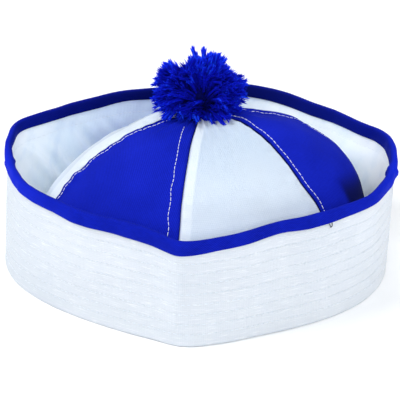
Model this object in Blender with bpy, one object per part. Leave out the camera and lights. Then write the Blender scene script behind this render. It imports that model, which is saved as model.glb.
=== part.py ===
"""Sailor cap: six sewn crown panels, a turned-up brim with a bound rim, and a yarn pompom.

Metres, +Z up. The cap rests on the fold of its brim at z = 0. The front corner of the brim faces -Y,
and the long side of the cap lies along X. Azimuths are in degrees from +X, anticlockwise from above.
"""

import math
import random
from collections import namedtuple

import bmesh
import bpy
import numpy as np
from mathutils import Vector

MM = 0.001

# Cloth thicknesses, the gap kept between pieces that touch and the gap at each seam, in mm
CROWN_CLOTH = 1.2
BRIM_CLOTH = 1.3
TAPE_CLOTH = 1.0
SEAT_GAP = 0.25
SEAM_GAP = 0.3

# The fold at the foot of the brim, in mm: the slot between wall and lip, how far the corners are
# rounded in and up, and the height of the lip that the crown stands on
FOLD_CHANNEL = 1.0
FOLD_ROUNDING = 1.0
FOLD_RISE = 1.8
LIP_HEIGHT = 5.0

# The bound rim, in mm: how far the tape reaches down each face, and its rounded edge
TAPE_SKIRT = 5.2
TAPE_ROUNDING = 0.9

# The crown, in mm: its inset from the lip, the dip at its apex and the hole there for the pompom's tie,
# and how far a panel swells between its seams. The flare's climb is a share of the way to the apex.
CROWN_INSET = 0.3
FLARE_CLIMB = 0.3
APEX_HEIGHT = 84.0
APEX_HOLE = 2.5
DIMPLE_RADIUS = 34.0
PANEL_PUFF = 2.2
PUFF_FULLNESS = 2.2

# The pompom, in mm. Its core and its lowest lock are shares of its reach, and each lock's length and
# width vary by the shares given.
POMPOM_CENTRE = (0.5, 0.0, 94.5)
POMPOM_REACH = (25.5, 25.0, 22.0)
POMPOM_DROOP = 9.5
POMPOM_CORE = 0.66
POMPOM_SEAT = 0.4
LOCK_COUNT = 46
LOCK_SIDES = 6
LOCK_SPREAD = 5.6
LENGTH_VARIATION = 0.10
SPREAD_VARIATION = 0.15
LOWEST_LOCK = -0.6
LOCK_SEED = 5

# How finely the pieces are drawn. The wall's levels are shares of the way from its fold to the tape.
RING_STEPS = 96
FOLD_TURNS = (0, 45, 90)
WALL_LEVELS = (0.3, 0.6, 1.0)
PANEL_COLUMNS = 8
PANEL_ROWS = 11
SHARP_ANGLE = 40

# The solid that shapes the pompom's underside: its rings climb from one share of the crown's height to
# another, above a floor in mm
SEAT_STEPS = 48
SEAT_RINGS = 7
SEAT_CLIMBS = (0.62, 0.97)
SEAT_FLOOR = 40.0

# Outline of the brim: outer radius at the fold and at the rim, height of the rim, and outward
# swell of the wall half way up, in mm
BrimSection = namedtuple("BrimSection", "azimuth fold rim height swell")
BRIM_SECTIONS = (
    BrimSection(0, 101.0, 105.0, 61.0, 0.5),
    BrimSection(14, 99.5, 106.8, 61.5, 0.5),
    BrimSection(30, 95.0, 99.8, 62.0, 1.0),
    BrimSection(45, 91.5, 97.4, 62.6, 1.0),
    BrimSection(70, 89.5, 99.0, 64.3, 0.5),
    BrimSection(90, 88.5, 95.8, 65.4, 0.5),
    BrimSection(108, 88.0, 93.0, 65.2, 1.0),
    BrimSection(135, 92.5, 99.5, 64.0, 1.0),
    BrimSection(151, 99.5, 105.6, 63.0, 0.5),
    BrimSection(165, 105.5, 108.6, 63.0, 0.5),
    BrimSection(180, 107.2, 104.2, 63.0, 0.5),
    BrimSection(195, 104.2, 98.3, 63.5, 1.0),
    BrimSection(210, 97.8, 95.1, 62.6, 1.5),
    BrimSection(225, 92.4, 91.3, 61.9, 1.5),
    BrimSection(241, 90.4, 88.6, 60.7, 1.5),
    BrimSection(254, 92.2, 91.8, 60.0, 0.5),
    BrimSection(265, 96.3, 97.0, 58.9, 0.0),
    BrimSection(276, 93.8, 92.8, 58.9, 0.5),
    BrimSection(288, 91.0, 87.4, 59.3, 1.5),
    BrimSection(302, 91.8, 85.9, 59.6, 1.5),
    BrimSection(318, 96.2, 91.5, 60.0, 1.0),
    BrimSection(331, 100.0, 98.8, 60.1, 0.5),
    BrimSection(345, 102.0, 101.6, 60.5, 0.5),
)

# Shape of the crown: height that each side domes up to and radius that the dome has at its foot, in
# mm, and how boxy its curve is, where 2 is an ellipse
CrownSection = namedtuple("CrownSection", "azimuth shoulder girth boxiness")
CROWN_SECTIONS = (
    CrownSection(18, 88.5, 92.3, 2.08),
    CrownSection(48, 79.0, 90.0, 2.00),
    CrownSection(78, 74.0, 86.0, 2.00),
    CrownSection(108, 72.0, 85.0, 2.00),
    CrownSection(138, 81.0, 85.5, 1.80),
    CrownSection(168, 88.5, 88.0, 1.66),
    CrownSection(198, 85.5, 91.5, 2.00),
    CrownSection(229, 86.5, 88.0, 2.00),
    CrownSection(261, 87.0, 88.0, 2.00),
    CrownSection(290, 89.5, 87.0, 2.10),
    CrownSection(318, 93.5, 91.5, 2.15),
    CrownSection(348, 92.5, 93.0, 2.20),
)

# Share of a lock's length and share of its full width at each of its rings, from core to cut end
LockRing = namedtuple("LockRing", "along width")
LOCK_RINGS = (
    LockRing(0.30, 0.36),
    LockRing(0.80, 0.96),
    LockRing(0.93, 0.82),
    LockRing(1.02, 0.28),
)

# Finishes: name, colour and roughness
WHITE_CLOTH = ("white_cloth", (0.86, 0.90, 0.97), 0.85)
BLUE_CLOTH = ("blue_cloth", (0.02, 0.05, 0.58), 0.75)
BLUE_TAPE = ("blue_tape", (0.01, 0.03, 0.55), 0.6)
BLUE_YARN = ("blue_yarn", (0.01, 0.04, 0.62), 0.95)

# Each crown panel runs from one seam to the next
CrownPanel = namedtuple("CrownPanel", "name start end finish")
CROWN_PANELS = (
    CrownPanel("crown_panel_front_left", 198, 261, BLUE_CLOTH),
    CrownPanel("crown_panel_front", 261, 318, WHITE_CLOTH),
    CrownPanel("crown_panel_right", 318, 378, BLUE_CLOTH),
    CrownPanel("crown_panel_back_right", 18, 78, WHITE_CLOTH),
    CrownPanel("crown_panel_back", 78, 138, BLUE_CLOTH),
    CrownPanel("crown_panel_left", 138, 198, WHITE_CLOTH),
)


def clear_scene():
    for item in list(bpy.data.objects):
        bpy.data.objects.remove(item, do_unlink=True)


def smooth_ring(rows, column):
    """A function of azimuth that runs smoothly through one column of a table of sections."""
    azimuths = np.array([row.azimuth for row in rows], float)
    values = np.array([getattr(row, column) for row in rows], float)
    azimuths = np.concatenate([azimuths[-2:] - 360, azimuths, azimuths[:2] + 360])
    values = np.concatenate([values[-2:], values, values[:2]])
    slopes = np.gradient(values, azimuths)

    def value_at(azimuth):
        turned = (azimuth - azimuths[1]) % 360 + azimuths[1]
        i = min(int(np.searchsorted(azimuths, turned, side="right")) - 1, len(azimuths) - 2)
        span = azimuths[i + 1] - azimuths[i]
        t = (turned - azimuths[i]) / span
        rise = values[i + 1] - values[i]
        bend_in = slopes[i] * span
        bend_out = slopes[i + 1] * span
        return float(
            values[i]
            + t * bend_in
            + t * t * (3 * rise - 2 * bend_in - bend_out)
            + t * t * t * (bend_in + bend_out - 2 * rise)
        )

    return value_at


fold_radius = smooth_ring(BRIM_SECTIONS, "fold")
rim_radius = smooth_ring(BRIM_SECTIONS, "rim")
rim_height = smooth_ring(BRIM_SECTIONS, "height")
wall_swell = smooth_ring(BRIM_SECTIONS, "swell")
crown_shoulder = smooth_ring(CROWN_SECTIONS, "shoulder")
crown_girth = smooth_ring(CROWN_SECTIONS, "girth")
crown_boxiness = smooth_ring(CROWN_SECTIONS, "boxiness")


def smooth_step(x):
    x = min(max(x, 0.0), 1.0)
    return x * x * (3 - 2 * x)


def at(azimuth, radius, height):
    """A point in metres, from an azimuth in degrees and a radius and height in mm."""
    turn = math.radians(azimuth)
    return Vector((radius * math.cos(turn), radius * math.sin(turn), height)) * MM


def brim_top(azimuth):
    """Height of the brim's own cloth, under the tape that binds it."""
    return rim_height(azimuth) - TAPE_CLOTH - SEAT_GAP


def wall_radius(azimuth, height):
    """Outer radius of the brim's wall at a height."""
    share = (height - FOLD_RISE) / (brim_top(azimuth) - FOLD_RISE)
    rim = rim_radius(azimuth) - TAPE_CLOTH - SEAT_GAP
    lean = (rim - fold_radius(azimuth)) * share
    return fold_radius(azimuth) + lean + wall_swell(azimuth) * math.sin(math.pi * share)


def finish_of(finish):
    name, colour, roughness = finish
    material = bpy.data.materials.get(name)
    if material is None:
        material = bpy.data.materials.new(name)
        material.use_nodes = True
        shader = material.node_tree.nodes["Principled BSDF"]
        shader.inputs["Base Color"].default_value = (*colour, 1)
        shader.inputs["Roughness"].default_value = roughness
        shader.inputs["Metallic"].default_value = 0
    return material


def add_object(name, mesh, finish):
    mesh.shade_smooth()
    mesh.set_sharp_from_angle(angle=math.radians(SHARP_ANGLE))
    mesh.materials.append(finish_of(finish))
    piece = bpy.data.objects.new(name, mesh)
    bpy.context.scene.collection.objects.link(piece)
    return piece


def mesh_of(name, shape):
    """The bmesh as a mesh, with its faces turned outwards."""
    bmesh.ops.recalc_face_normals(shape, faces=shape.faces)
    mesh = bpy.data.meshes.new(name)
    shape.to_mesh(mesh)
    shape.free()
    return mesh


def ring_mesh(name, outline_at):
    """A closed ring that carries the outline given for each azimuth, as pairs of radius and height."""
    shape = bmesh.new()
    rings = []
    for step in range(RING_STEPS):
        azimuth = 360 * step / RING_STEPS
        rings.append([shape.verts.new(at(azimuth, *point)) for point in outline_at(azimuth)])
    for here, there in zip(rings, rings[1:] + rings[:1]):
        for i in range(len(here)):
            shape.faces.new((here[i - 1], there[i - 1], there[i], here[i]))
    return mesh_of(name, shape)


def brim_outline(azimuth):
    """The wall from its fold to the rim and back, then the short lip inside the fold."""
    fold = fold_radius(azimuth)
    top = brim_top(azimuth)
    lip_outer = fold - BRIM_CLOTH - FOLD_CHANNEL
    lip_inner = lip_outer - BRIM_CLOTH
    levels = [FOLD_RISE + (top - TAPE_SKIRT - FOLD_RISE) * share for share in WALL_LEVELS]
    levels.append(top)
    outer = [(wall_radius(azimuth, level), level) for level in levels]
    inner = [(radius - BRIM_CLOTH, level) for radius, level in reversed(outer)]
    corner = []
    for turn in map(math.radians, FOLD_TURNS):
        corner.append((FOLD_ROUNDING * (1 - math.sin(turn)), FOLD_RISE * (1 - math.cos(turn))))
    return [
        *[(fold - inset, level) for inset, level in corner],
        *outer,
        *inner,
        (fold - BRIM_CLOTH, FOLD_RISE),
        (lip_outer, FOLD_RISE),
        (lip_outer, LIP_HEIGHT),
        (lip_inner, LIP_HEIGHT),
        *[(lip_inner + inset, level) for inset, level in reversed(corner)],
    ]


def binding_outline(azimuth):
    """The tape up the outside of the rim, over it and down its inside, and back along its own underside."""
    top = brim_top(azimuth)
    hem = top - TAPE_SKIRT
    outside_hem = wall_radius(azimuth, hem) + SEAT_GAP
    outside_top = wall_radius(azimuth, top) + SEAT_GAP
    inside_hem = outside_hem - BRIM_CLOTH - 2 * SEAT_GAP
    inside_top = outside_top - BRIM_CLOTH - 2 * SEAT_GAP
    crest = top + SEAT_GAP + TAPE_CLOTH
    return [
        (outside_hem, hem),
        (outside_hem + TAPE_CLOTH, hem),
        (outside_top + TAPE_CLOTH, crest - TAPE_ROUNDING),
        (outside_top + TAPE_CLOTH - TAPE_ROUNDING, crest),
        (inside_top - TAPE_CLOTH + TAPE_ROUNDING, crest),
        (inside_top - TAPE_CLOTH, crest - TAPE_ROUNDING),
        (inside_hem - TAPE_CLOTH, hem),
        (inside_hem, hem),
        (inside_top, top + SEAT_GAP),
        (outside_top, top + SEAT_GAP),
    ]


def crown_radius(azimuth, climb):
    """Radius of the dome, which flares near its foot to meet the lip of the brim."""
    girth = crown_girth(azimuth)
    foot = fold_radius(azimuth) - BRIM_CLOTH - FOLD_CHANNEL - CROWN_INSET
    flare = max(1 - climb / FLARE_CLIMB, 0) ** 2
    return girth * math.cos(climb * math.pi / 2) ** (2 / crown_boxiness(azimuth)) + (foot - girth) * flare


def crown_point(azimuth, climb, puff):
    """A point on the crown's outside, in mm. climb runs from 0 at its foot towards 1 at the apex."""
    radius = crown_radius(azimuth, climb)
    foot = LIP_HEIGHT + SEAT_GAP
    turn = climb * math.pi / 2
    dimple = smooth_step(radius / DIMPLE_RADIUS)
    top = APEX_HEIGHT + (crown_shoulder(azimuth) - APEX_HEIGHT) * dimple
    height = foot + (top - foot) * math.sin(turn) ** (2 / crown_boxiness(azimuth))
    swell = puff * PANEL_PUFF * math.sin(2 * turn)
    angle = math.radians(azimuth)
    outward = Vector((math.cos(angle) * math.cos(turn), math.sin(angle) * math.cos(turn), math.sin(turn)))
    return Vector((radius * math.cos(angle), radius * math.sin(angle), height)) + outward * swell


def climb_to_hole(azimuth):
    """The climb at which a panel reaches the hole left under the pompom."""
    share = (APEX_HOLE / crown_girth(azimuth)) ** (crown_boxiness(azimuth) / 2)
    return math.acos(share) / (math.pi / 2)


def panel_point(panel, across, up):
    """A point on a panel's outside, in mm: across and up run from 0 to 1, half a gap short of the seams."""
    middle = (panel.start + panel.end) / 2
    climb = up * climb_to_hole(middle)
    margin = math.degrees(SEAM_GAP / 2 / crown_radius(middle, climb))
    azimuth = panel.start + margin + (panel.end - panel.start - 2 * margin) * across
    puff = 1 - abs(2 * across - 1) ** PUFF_FULLNESS
    return crown_point(azimuth, climb, puff)


def panel_normal(panel, across, up):
    """The outward direction at a point of a panel, from its neighbours on each side."""
    step = 0.01
    left = panel_point(panel, across - step, up)
    right = panel_point(panel, across + step, up)
    below = panel_point(panel, across, max(up - step, 0))
    above = panel_point(panel, across, min(up + step, 1))
    return (right - left).cross(above - below).normalized()


def crown_panel(panel):
    """One panel: its outer face, its inner face one cloth below, and its four edges."""
    shape = bmesh.new()
    outer = []
    inner = []
    for row in range(PANEL_ROWS + 1):
        up = row / PANEL_ROWS
        skin = []
        lining = []
        for column in range(PANEL_COLUMNS + 1):
            across = column / PANEL_COLUMNS
            point = panel_point(panel, across, up)
            inset = panel_normal(panel, across, up)
            if row == 0:
                inset = Vector((inset.x, inset.y, 0)).normalized()
            skin.append(shape.verts.new(point * MM))
            lining.append(shape.verts.new((point - inset * CROWN_CLOTH) * MM))
        outer.append(skin)
        inner.append(lining)
    for grid in (outer, inner):
        for low, high in zip(grid, grid[1:]):
            for i in range(PANEL_COLUMNS):
                shape.faces.new((low[i], low[i + 1], high[i + 1], high[i]))
    edge = [(0, column) for column in range(PANEL_COLUMNS + 1)]
    edge += [(row, PANEL_COLUMNS) for row in range(1, PANEL_ROWS + 1)]
    edge += [(PANEL_ROWS, column) for column in range(PANEL_COLUMNS - 1, -1, -1)]
    edge += [(row, 0) for row in range(PANEL_ROWS - 1, 0, -1)]
    skin_edge = [outer[row][column] for row, column in edge]
    lining_edge = [inner[row][column] for row, column in edge]
    for i in range(len(edge)):
        shape.faces.new((skin_edge[i - 1], skin_edge[i], lining_edge[i], lining_edge[i - 1]))
    return add_object(panel.name, mesh_of(panel.name, shape), panel.finish)


def pompom_surface(direction, reach):
    """The point where a direction from the pompom's centre meets its outline, at a share of its reach."""
    wide, deep, high = POMPOM_REACH
    rise = high if direction.z > 0 else POMPOM_DROOP
    stretched = Vector((direction.x * wide, direction.y * deep, direction.z * rise))
    return Vector(POMPOM_CENTRE) + stretched * reach


def lock_directions():
    """Directions spread evenly over the pompom by the golden angle, down to its lowest locks."""
    golden = math.pi * (3 - math.sqrt(5))
    for i in range(LOCK_COUNT):
        height = 1 - (1 - LOWEST_LOCK) * (i + 0.5) / LOCK_COUNT
        flat = math.sqrt(1 - height * height)
        yield Vector((flat * math.cos(i * golden), flat * math.sin(i * golden), height))


def add_lock(shape, direction, reach, spread):
    """A tuft of yarn that widens from the core and closes to a brush end."""
    side = direction.orthogonal().normalized()
    other = direction.cross(side)
    rings = []
    for lock_ring in LOCK_RINGS:
        centre = pompom_surface(direction, lock_ring.along * reach)
        ring = []
        for i in range(LOCK_SIDES):
            turn = 2 * math.pi * i / LOCK_SIDES
            offset = side * math.cos(turn) + other * math.sin(turn)
            ring.append(shape.verts.new((centre + offset * spread * lock_ring.width) * MM))
        rings.append(ring)
    for low, high in zip(rings, rings[1:]):
        for i in range(LOCK_SIDES):
            shape.faces.new((low[i - 1], low[i], high[i], high[i - 1]))
    shape.faces.new(reversed(rings[0]))
    shape.faces.new(rings[-1])


def pompom_locks():
    shape = bmesh.new()
    chance = random.Random(LOCK_SEED)
    for direction in lock_directions():
        reach = 1 + chance.uniform(-LENGTH_VARIATION, LENGTH_VARIATION)
        spread = LOCK_SPREAD * (1 + chance.uniform(-SPREAD_VARIATION, SPREAD_VARIATION))
        add_lock(shape, direction, reach, spread)
    return mesh_of("pompom_locks", shape)


def pompom_core():
    shape = bmesh.new()
    bmesh.ops.create_icosphere(shape, subdivisions=2, radius=1)
    for vert in shape.verts:
        vert.co = pompom_surface(vert.co.normalized(), POMPOM_CORE) * MM
    return mesh_of("pompom", shape)


def crown_envelope():
    """A solid that fills the top of the crown and stands a small gap proud of it, to seat the pompom on."""
    shape = bmesh.new()
    foot, head = SEAT_CLIMBS
    rings = []
    for number in range(SEAT_RINGS):
        climb = foot + (head - foot) * number / (SEAT_RINGS - 1)
        ring = []
        for step in range(SEAT_STEPS):
            point = crown_point(360 * step / SEAT_STEPS, climb, 1)
            ring.append(shape.verts.new((point + Vector((0, 0, POMPOM_SEAT))) * MM))
        rings.append(ring)
    floor = [shape.verts.new((vert.co.x, vert.co.y, SEAT_FLOOR * MM)) for vert in rings[0]]
    rings.insert(0, floor)
    for low, high in zip(rings, rings[1:]):
        for i in range(SEAT_STEPS):
            shape.faces.new((low[i - 1], low[i], high[i], high[i - 1]))
    shape.faces.new(rings[-1])
    shape.faces.new(reversed(floor))
    return mesh_of("crown_envelope", shape)


def helper(name, mesh):
    """An object that only shapes another one."""
    item = bpy.data.objects.new(name, mesh)
    item.hide_render = True
    item.display_type = "WIRE"
    bpy.context.scene.collection.objects.link(item)
    return item


def pompom():
    """Locks of yarn fused to a round core, with the underside shaped to the crown that it sits on."""
    piece = add_object("pompom", pompom_core(), BLUE_YARN)
    join = piece.modifiers.new("locks", "BOOLEAN")
    join.operation = "UNION"
    join.object = helper("pompom_locks", pompom_locks())
    join.use_self = True
    seat = piece.modifiers.new("seat", "BOOLEAN")
    seat.operation = "DIFFERENCE"
    seat.object = helper("crown_envelope", crown_envelope())
    return piece


def build():
    clear_scene()
    for panel in CROWN_PANELS:
        crown_panel(panel)
    add_object("brim", ring_mesh("brim", brim_outline), WHITE_CLOTH)
    add_object("brim_binding", ring_mesh("brim_binding", binding_outline), BLUE_TAPE)
    pompom()


build()
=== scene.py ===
"""The looks of a sailor cap: woven crown panels and their sewn seams, a quilted turned-up brim with its
bound rim, and a yarn pompom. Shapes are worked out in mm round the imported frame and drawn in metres."""

import math
from collections import namedtuple

import bpy
import numpy as np
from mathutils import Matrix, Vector
from mathutils.bvhtree import BVHTree


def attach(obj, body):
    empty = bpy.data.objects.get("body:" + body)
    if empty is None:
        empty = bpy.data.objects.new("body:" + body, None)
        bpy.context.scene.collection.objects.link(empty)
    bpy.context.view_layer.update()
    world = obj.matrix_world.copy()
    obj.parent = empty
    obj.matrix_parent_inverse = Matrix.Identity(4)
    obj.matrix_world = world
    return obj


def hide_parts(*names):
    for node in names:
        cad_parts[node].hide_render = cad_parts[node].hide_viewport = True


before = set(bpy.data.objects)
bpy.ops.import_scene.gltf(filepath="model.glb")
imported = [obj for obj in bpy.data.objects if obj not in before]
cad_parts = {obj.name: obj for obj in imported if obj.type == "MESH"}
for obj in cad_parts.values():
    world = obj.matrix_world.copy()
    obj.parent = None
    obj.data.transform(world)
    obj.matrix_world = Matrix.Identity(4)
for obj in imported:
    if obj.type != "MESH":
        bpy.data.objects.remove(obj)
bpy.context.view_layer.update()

MM = 0.001

# The seed of all random forms but the pompom's
SEED = 11

# The view: how far above level the camera looks from, how far off it stands, the point it looks at, its lens
# and sensor and how far it sees, in degrees and mm
VIEW_HEIGHT = 26.0
VIEW_DISTANCE = 780.0
VIEW_AIM = (0.0, -3.5, 36.0)
VIEW_LENS = 130.0
VIEW_SENSOR = 36.0
VIEW_REACH = 20000.0

# Right, up and towards the camera, as seen from the front view
VIEW_LIFT = math.radians(VIEW_HEIGHT)
FRONT_VIEW = np.array((
    (1, 0, 0),
    (0, math.sin(VIEW_LIFT), math.cos(VIEW_LIFT)),
    (0, -math.cos(VIEW_LIFT), math.sin(VIEW_LIFT)),
))

# How the frame was drawn: steps round its rings, the finer steps that they are read into, the height of the
# brim's fold and how near to a level a point counts as on it, in mm
FRAME_STEPS = 96
FINE_STEPS = 1536
FOLD_RISE = 1.8
LEVEL_MARGIN = 0.1

# The brim's cloth, in mm: its thickness, the slot and the lip inside the fold, and the rounding of the fold
BRIM_CLOTH = 1.3
FOLD_CHANNEL = 1.0
LIP_HEIGHT = 5.0
LIP_ROUNDING = 0.4
FOLD_ROUNDING = 1.5
BRIM_COLUMNS = 480

# The span of the brim's weave up its wall and the lap once round it, in mm, and the radius of the even ring
# on which its random waves are placed
WALL_SPAN = 60.0
LAP = 2 * math.pi * 97.0
WAVE_RING = 95.0

# A stretch round the cap that differs from the rest: its middle and how far it reaches from there, in
# degrees, and by how much it differs
Stretch = namedtuple("Stretch", "turn across size")

# How far the wall stands out at the upright crease at its front corner, and in on either side of it, and how
# much it waves in the slack folds at its left end, outside and inside, in mm
FRONT_CREASE = (Stretch(263.5, 2.6, 0.7), Stretch(270, 4.0, -0.25), Stretch(257, 4.0, -0.25))
LEFT_FOLDS = Stretch(158, 34, 0.45)
INNER_FOLDS = Stretch(150, 42, 1.4)

# How far from an edge white cloth goes from its darkest tone to its own, in mm
DARK_EDGE = (0.3, 1.4)

# Where the quilting is slack, where painted light makes the brim lighter outside and painted shade darkens
# it inside, and its left end, which painted shade makes as dark as cloth nearer to an edge
SLACK_QUILTING = Stretch(330, 42, -0.55)
BRIM_PAINTED_LIGHT_END = Stretch(350, 35, 0.13)
BRIM_SHADED_INSIDE = (Stretch(112, 42, 0.5), Stretch(30, 25, 0.15))
BRIM_PAINTED_SHADE_END = Stretch(195, 22, -1.1)

# Levels of the brim's outline: before its outer face, and after its inner one to where the map ends, on the
# first level again
FOLD_LEVELS = 5
INNER_FOLD_LEVELS = 12

# The rows of quilting on the brim: how many steps they divide it into, which of these are sewn, how deep
# they pull the cloth in and how far it swells between them, in mm, where the mesh has its levels in each
# step, and the row that shows on the inner face too
QUILT_STEPS = 10
QUILT_ROWS = range(1, 9)
QUILT_DEPTH = 0.11
QUILT_SWELL = 0.07
QUILT_LEVELS = (0.0, 0.13, 0.3, 0.5, 0.7, 0.87)
INNER_ROW = 8

# The tape, in mm: how far it reaches down each face, its thickness and the gap to the cloth under it
TAPE_SKIRT = 5.2
TAPE_CLOTH = 1.0
TAPE_GAP = 0.25
TAPE_ROUNDING = 1.1

# Levels up each face of the tape, as shares of the way from its hem to its shoulder, with the share of its
# thickness at each, and the levels of its outline, over its crest, between which the inner side's shade
# sets in
TAPE_LEVELS = ((0.0, 0.55), (0.06, 0.9), (0.18, 1.0), (0.34, 0.95), (0.5, 0.95), (0.66, 1.0), (0.8, 1.0))
TAPE_SHADE_LEVELS = (8, 14)

# How much thicker the tape is, in mm, where its ends lap over each other, where painted shade darkens it
# inside, and how much painted light brightens it at the cap's ends
TAPE_LAPS = (Stretch(182, 1.4, 0.8), Stretch(352, 1.4, 1.5))
TAPE_SHADE = Stretch(90, 62, 0.65)
TAPE_PAINTED_LIGHT_ENDS = (Stretch(190, 26, 0.6), Stretch(355, 22, 0.6))

# The loop of loose thread under the tape: where it starts and how far apart its ends are, in degrees, and
# how far it hangs and its radius, in mm
LOOSE_THREAD_TURN = 315.6
LOOSE_THREAD_GAP = 1.1
LOOSE_THREAD_DROP = 2.6
LOOSE_THREAD_RADIUS = 0.2

# How the sewn rim departs from the even form, at even steps round the cap: turns in degrees, and in mm how
# far it lies outwards and upwards and how far the tape's outer and inner hems hang lower
RimEase = namedtuple("RimEase", "turn out up outer_hem inner_hem")
RIM_EASE = (
    RimEase(0, 0.6, 1.4, -0.2, 1.9),
    RimEase(15, 0.7, 0.8, -0.1, 1.7),
    RimEase(30, 0.9, -0.2, -0.1, 0.9),
    RimEase(45, 1.4, -0.3, 0.0, 1.3),
    RimEase(60, 1.8, -0.2, 0.0, 1.0),
    RimEase(75, 1.4, 0.1, 0.0, 0.7),
    RimEase(90, 0.4, -0.1, 0.0, 0.1),
    RimEase(105, -0.6, 0.2, 0.0, -0.1),
    RimEase(120, -1.3, 1.5, 0.0, 0.4),
    RimEase(135, -2.3, 1.3, 0.0, 0.6),
    RimEase(150, -0.7, 1.9, -0.1, 0.2),
    RimEase(165, 0.9, 1.5, -0.3, -1.0),
    RimEase(180, -0.3, -1.4, -0.5, -2.6),
    RimEase(195, 1.3, -2.8, -0.4, -2.0),
    RimEase(210, 0.1, -1.5, 0.0, -1.0),
    RimEase(225, -0.5, -0.8, 0.7, -0.3),
    RimEase(240, -0.9, 0.1, 1.1, 0.0),
    RimEase(255, -0.9, 0.5, 1.3, 0.1),
    RimEase(270, -0.2, -0.7, 0.8, 0.0),
    RimEase(285, -0.4, -0.8, -0.6, 0.0),
    RimEase(300, -0.5, -1.2, -1.0, 0.0),
    RimEase(315, -0.5, -1.6, -0.1, 0.1),
    RimEase(330, -0.4, -1.2, -0.8, 0.4),
    RimEase(345, 0.9, -0.6, 0.0, 1.1),
)

# The crown's panels: cloth in mm, how finely they are drawn, how closely their columns crowd the seams, how
# far up they and their rows of stitches run, in degrees, and in mm the height that stands for the crown's
# where a ray down from RAY_HEIGHT misses it
CROWN_CLOTH = 1.1
PANEL_COLUMNS = 88
PANEL_ROWS = 100
EDGE_CROWDING = 0.7
TOP_RISE = 88.2
STITCHED_RISE = 80.0
APEX_HEIGHT = 84.0
RAY_HEIGHT = 200.0

# Seams of the crown, in mm: the groove where two panels meet, the turned-in allowance beside it on a white
# panel, with its width and the fall at its edge, and the pull of a row of stitches
SEAM_DEPTH = 0.9
SEAM_ROUNDING = 0.8
WHITE_RIDGE = 0.25
WHITE_ALLOWANCE = 5.6
WHITE_SLOPE = 1.5
WHITE_PULL = 3.2
STITCH_DIP = 0.35
STITCH_DIP_WIDTH = 0.7
PUCKER_REACH = 3.5

# Stitches, in mm
STITCH_LENGTH = 2.25
STITCH_PITCH = 2.6
STITCH_RADIUS = 0.165
QUILT_STITCH_LENGTH = 1.9
QUILT_STITCH_PITCH = 2.9
QUILT_STITCH_RADIUS = 0.16

# The pompom: the seed of its random yarns, its tufts, their yarns and the strands that each yarn frays into,
# how far a tuft's yarns lean apart, and radii in mm
POMPOM_SEED = 26
TUFTS = 270
YARNS_PER_TUFT = 8
YARNS_PER_EDGE_TUFT = 5
FRAYS = 4
FIBRES = 3000
TUFT_SPREAD = 0.05
EDGE_TUFT_SPREAD = 0.012
YARN_RADIUS = 0.7
FRAY_RADIUS = 0.25
FIBRE_RADII = (0.09, 0.075, 0.03)

# A yarn's width along it, as shares, and the point of it from which it frays
YARN_WIDTHS = (0.7, 0.85, 0.95, 1.0, 1.0, 1.0, 0.95, 0.85, 0.5)
FRAYS_FROM = 6

# How far from the front view tufts start, in degrees, in its middle and at its sides
PARTING = 42.0
SIDE_PARTING = 24.0

# The pompom's middle, the tie its yarns leave from and its reach towards the viewer, how far its strands
# stay off the crown and the height that the crown doesn't reach, in mm
POMPOM_MIDDLE = (0.0, 0.0, 98.5)
POMPOM_TIE = (1.2, -3.0, 87.3)
POMPOM_DEPTH = 23.5
STRAND_CLEARANCE = 0.7
ABOVE_CROWN = 97.0

# The pompom's core, in mm: how far it reaches above its middle and below it, and how far that middle lies
# from the pompom's own
CORE_ABOVE = (14.0, 12.0, 12.0)
CORE_BELOW = (14.0, 12.0, 6.0)
CORE_SHIFT = (0.0, 4.0, -2.5)

# The pompom's outline from the front: turns in degrees from the right, upwards, and reaches in mm
PompomLobe = namedtuple("PompomLobe", "turn reach")
POMPOM_LOBES = (
    PompomLobe(0, 24.0),
    PompomLobe(10, 23.2),
    PompomLobe(20, 21.2),
    PompomLobe(30, 19.2),
    PompomLobe(40, 17.8),
    PompomLobe(50, 19.8),
    PompomLobe(60, 19.4),
    PompomLobe(70, 19.0),
    PompomLobe(80, 18.8),
    PompomLobe(91, 17.2),
    PompomLobe(99, 17.8),
    PompomLobe(107, 15.0),
    PompomLobe(120, 13.8),
    PompomLobe(132, 14.6),
    PompomLobe(140, 20.6),
    PompomLobe(146, 22.6),
    PompomLobe(152, 22.4),
    PompomLobe(160, 22.8),
    PompomLobe(170, 23.8),
    PompomLobe(180, 24.2),
    PompomLobe(190, 24.4),
    PompomLobe(199, 25.8),
    PompomLobe(206, 22.4),
    PompomLobe(211, 21.8),
    PompomLobe(217, 23.4),
    PompomLobe(228, 19.0),
    PompomLobe(240, 16.0),
    PompomLobe(258, 15.2),
    PompomLobe(270, 16.0),
    PompomLobe(280, 17.4),
    PompomLobe(291, 17.8),
    PompomLobe(300, 20.0),
    PompomLobe(310, 22.0),
    PompomLobe(320, 23.2),
    PompomLobe(330, 24.6),
    PompomLobe(340, 20.0),
    PompomLobe(350, 23.8),
)

# Tufts that stand out at its edge, in the same terms
EDGE_TUFTS = (
    PompomLobe(99.5, 21.8),
    PompomLobe(97.5, 18.6),
    PompomLobe(85, 21.6),
    PompomLobe(82.5, 21.4),
    PompomLobe(72, 19.6),
    PompomLobe(66, 19.8),
    PompomLobe(57, 20.4),
    PompomLobe(50, 21.4),
    PompomLobe(39, 18.2),
    PompomLobe(30, 19.0),
    PompomLobe(20, 20.8),
    PompomLobe(9, 22.8),
    PompomLobe(357, 24.2),
    PompomLobe(342, 20.4),
    PompomLobe(330, 24.6),
    PompomLobe(318, 24.5),
    PompomLobe(310, 26.5),
    PompomLobe(301, 25.5),
    PompomLobe(291, 21.5),
    PompomLobe(141, 23.2),
    PompomLobe(146, 22.6),
    PompomLobe(158, 22.6),
    PompomLobe(168, 23.0),
    PompomLobe(182, 24.0),
    PompomLobe(199, 25.2),
    PompomLobe(216, 23.4),
)
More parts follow.
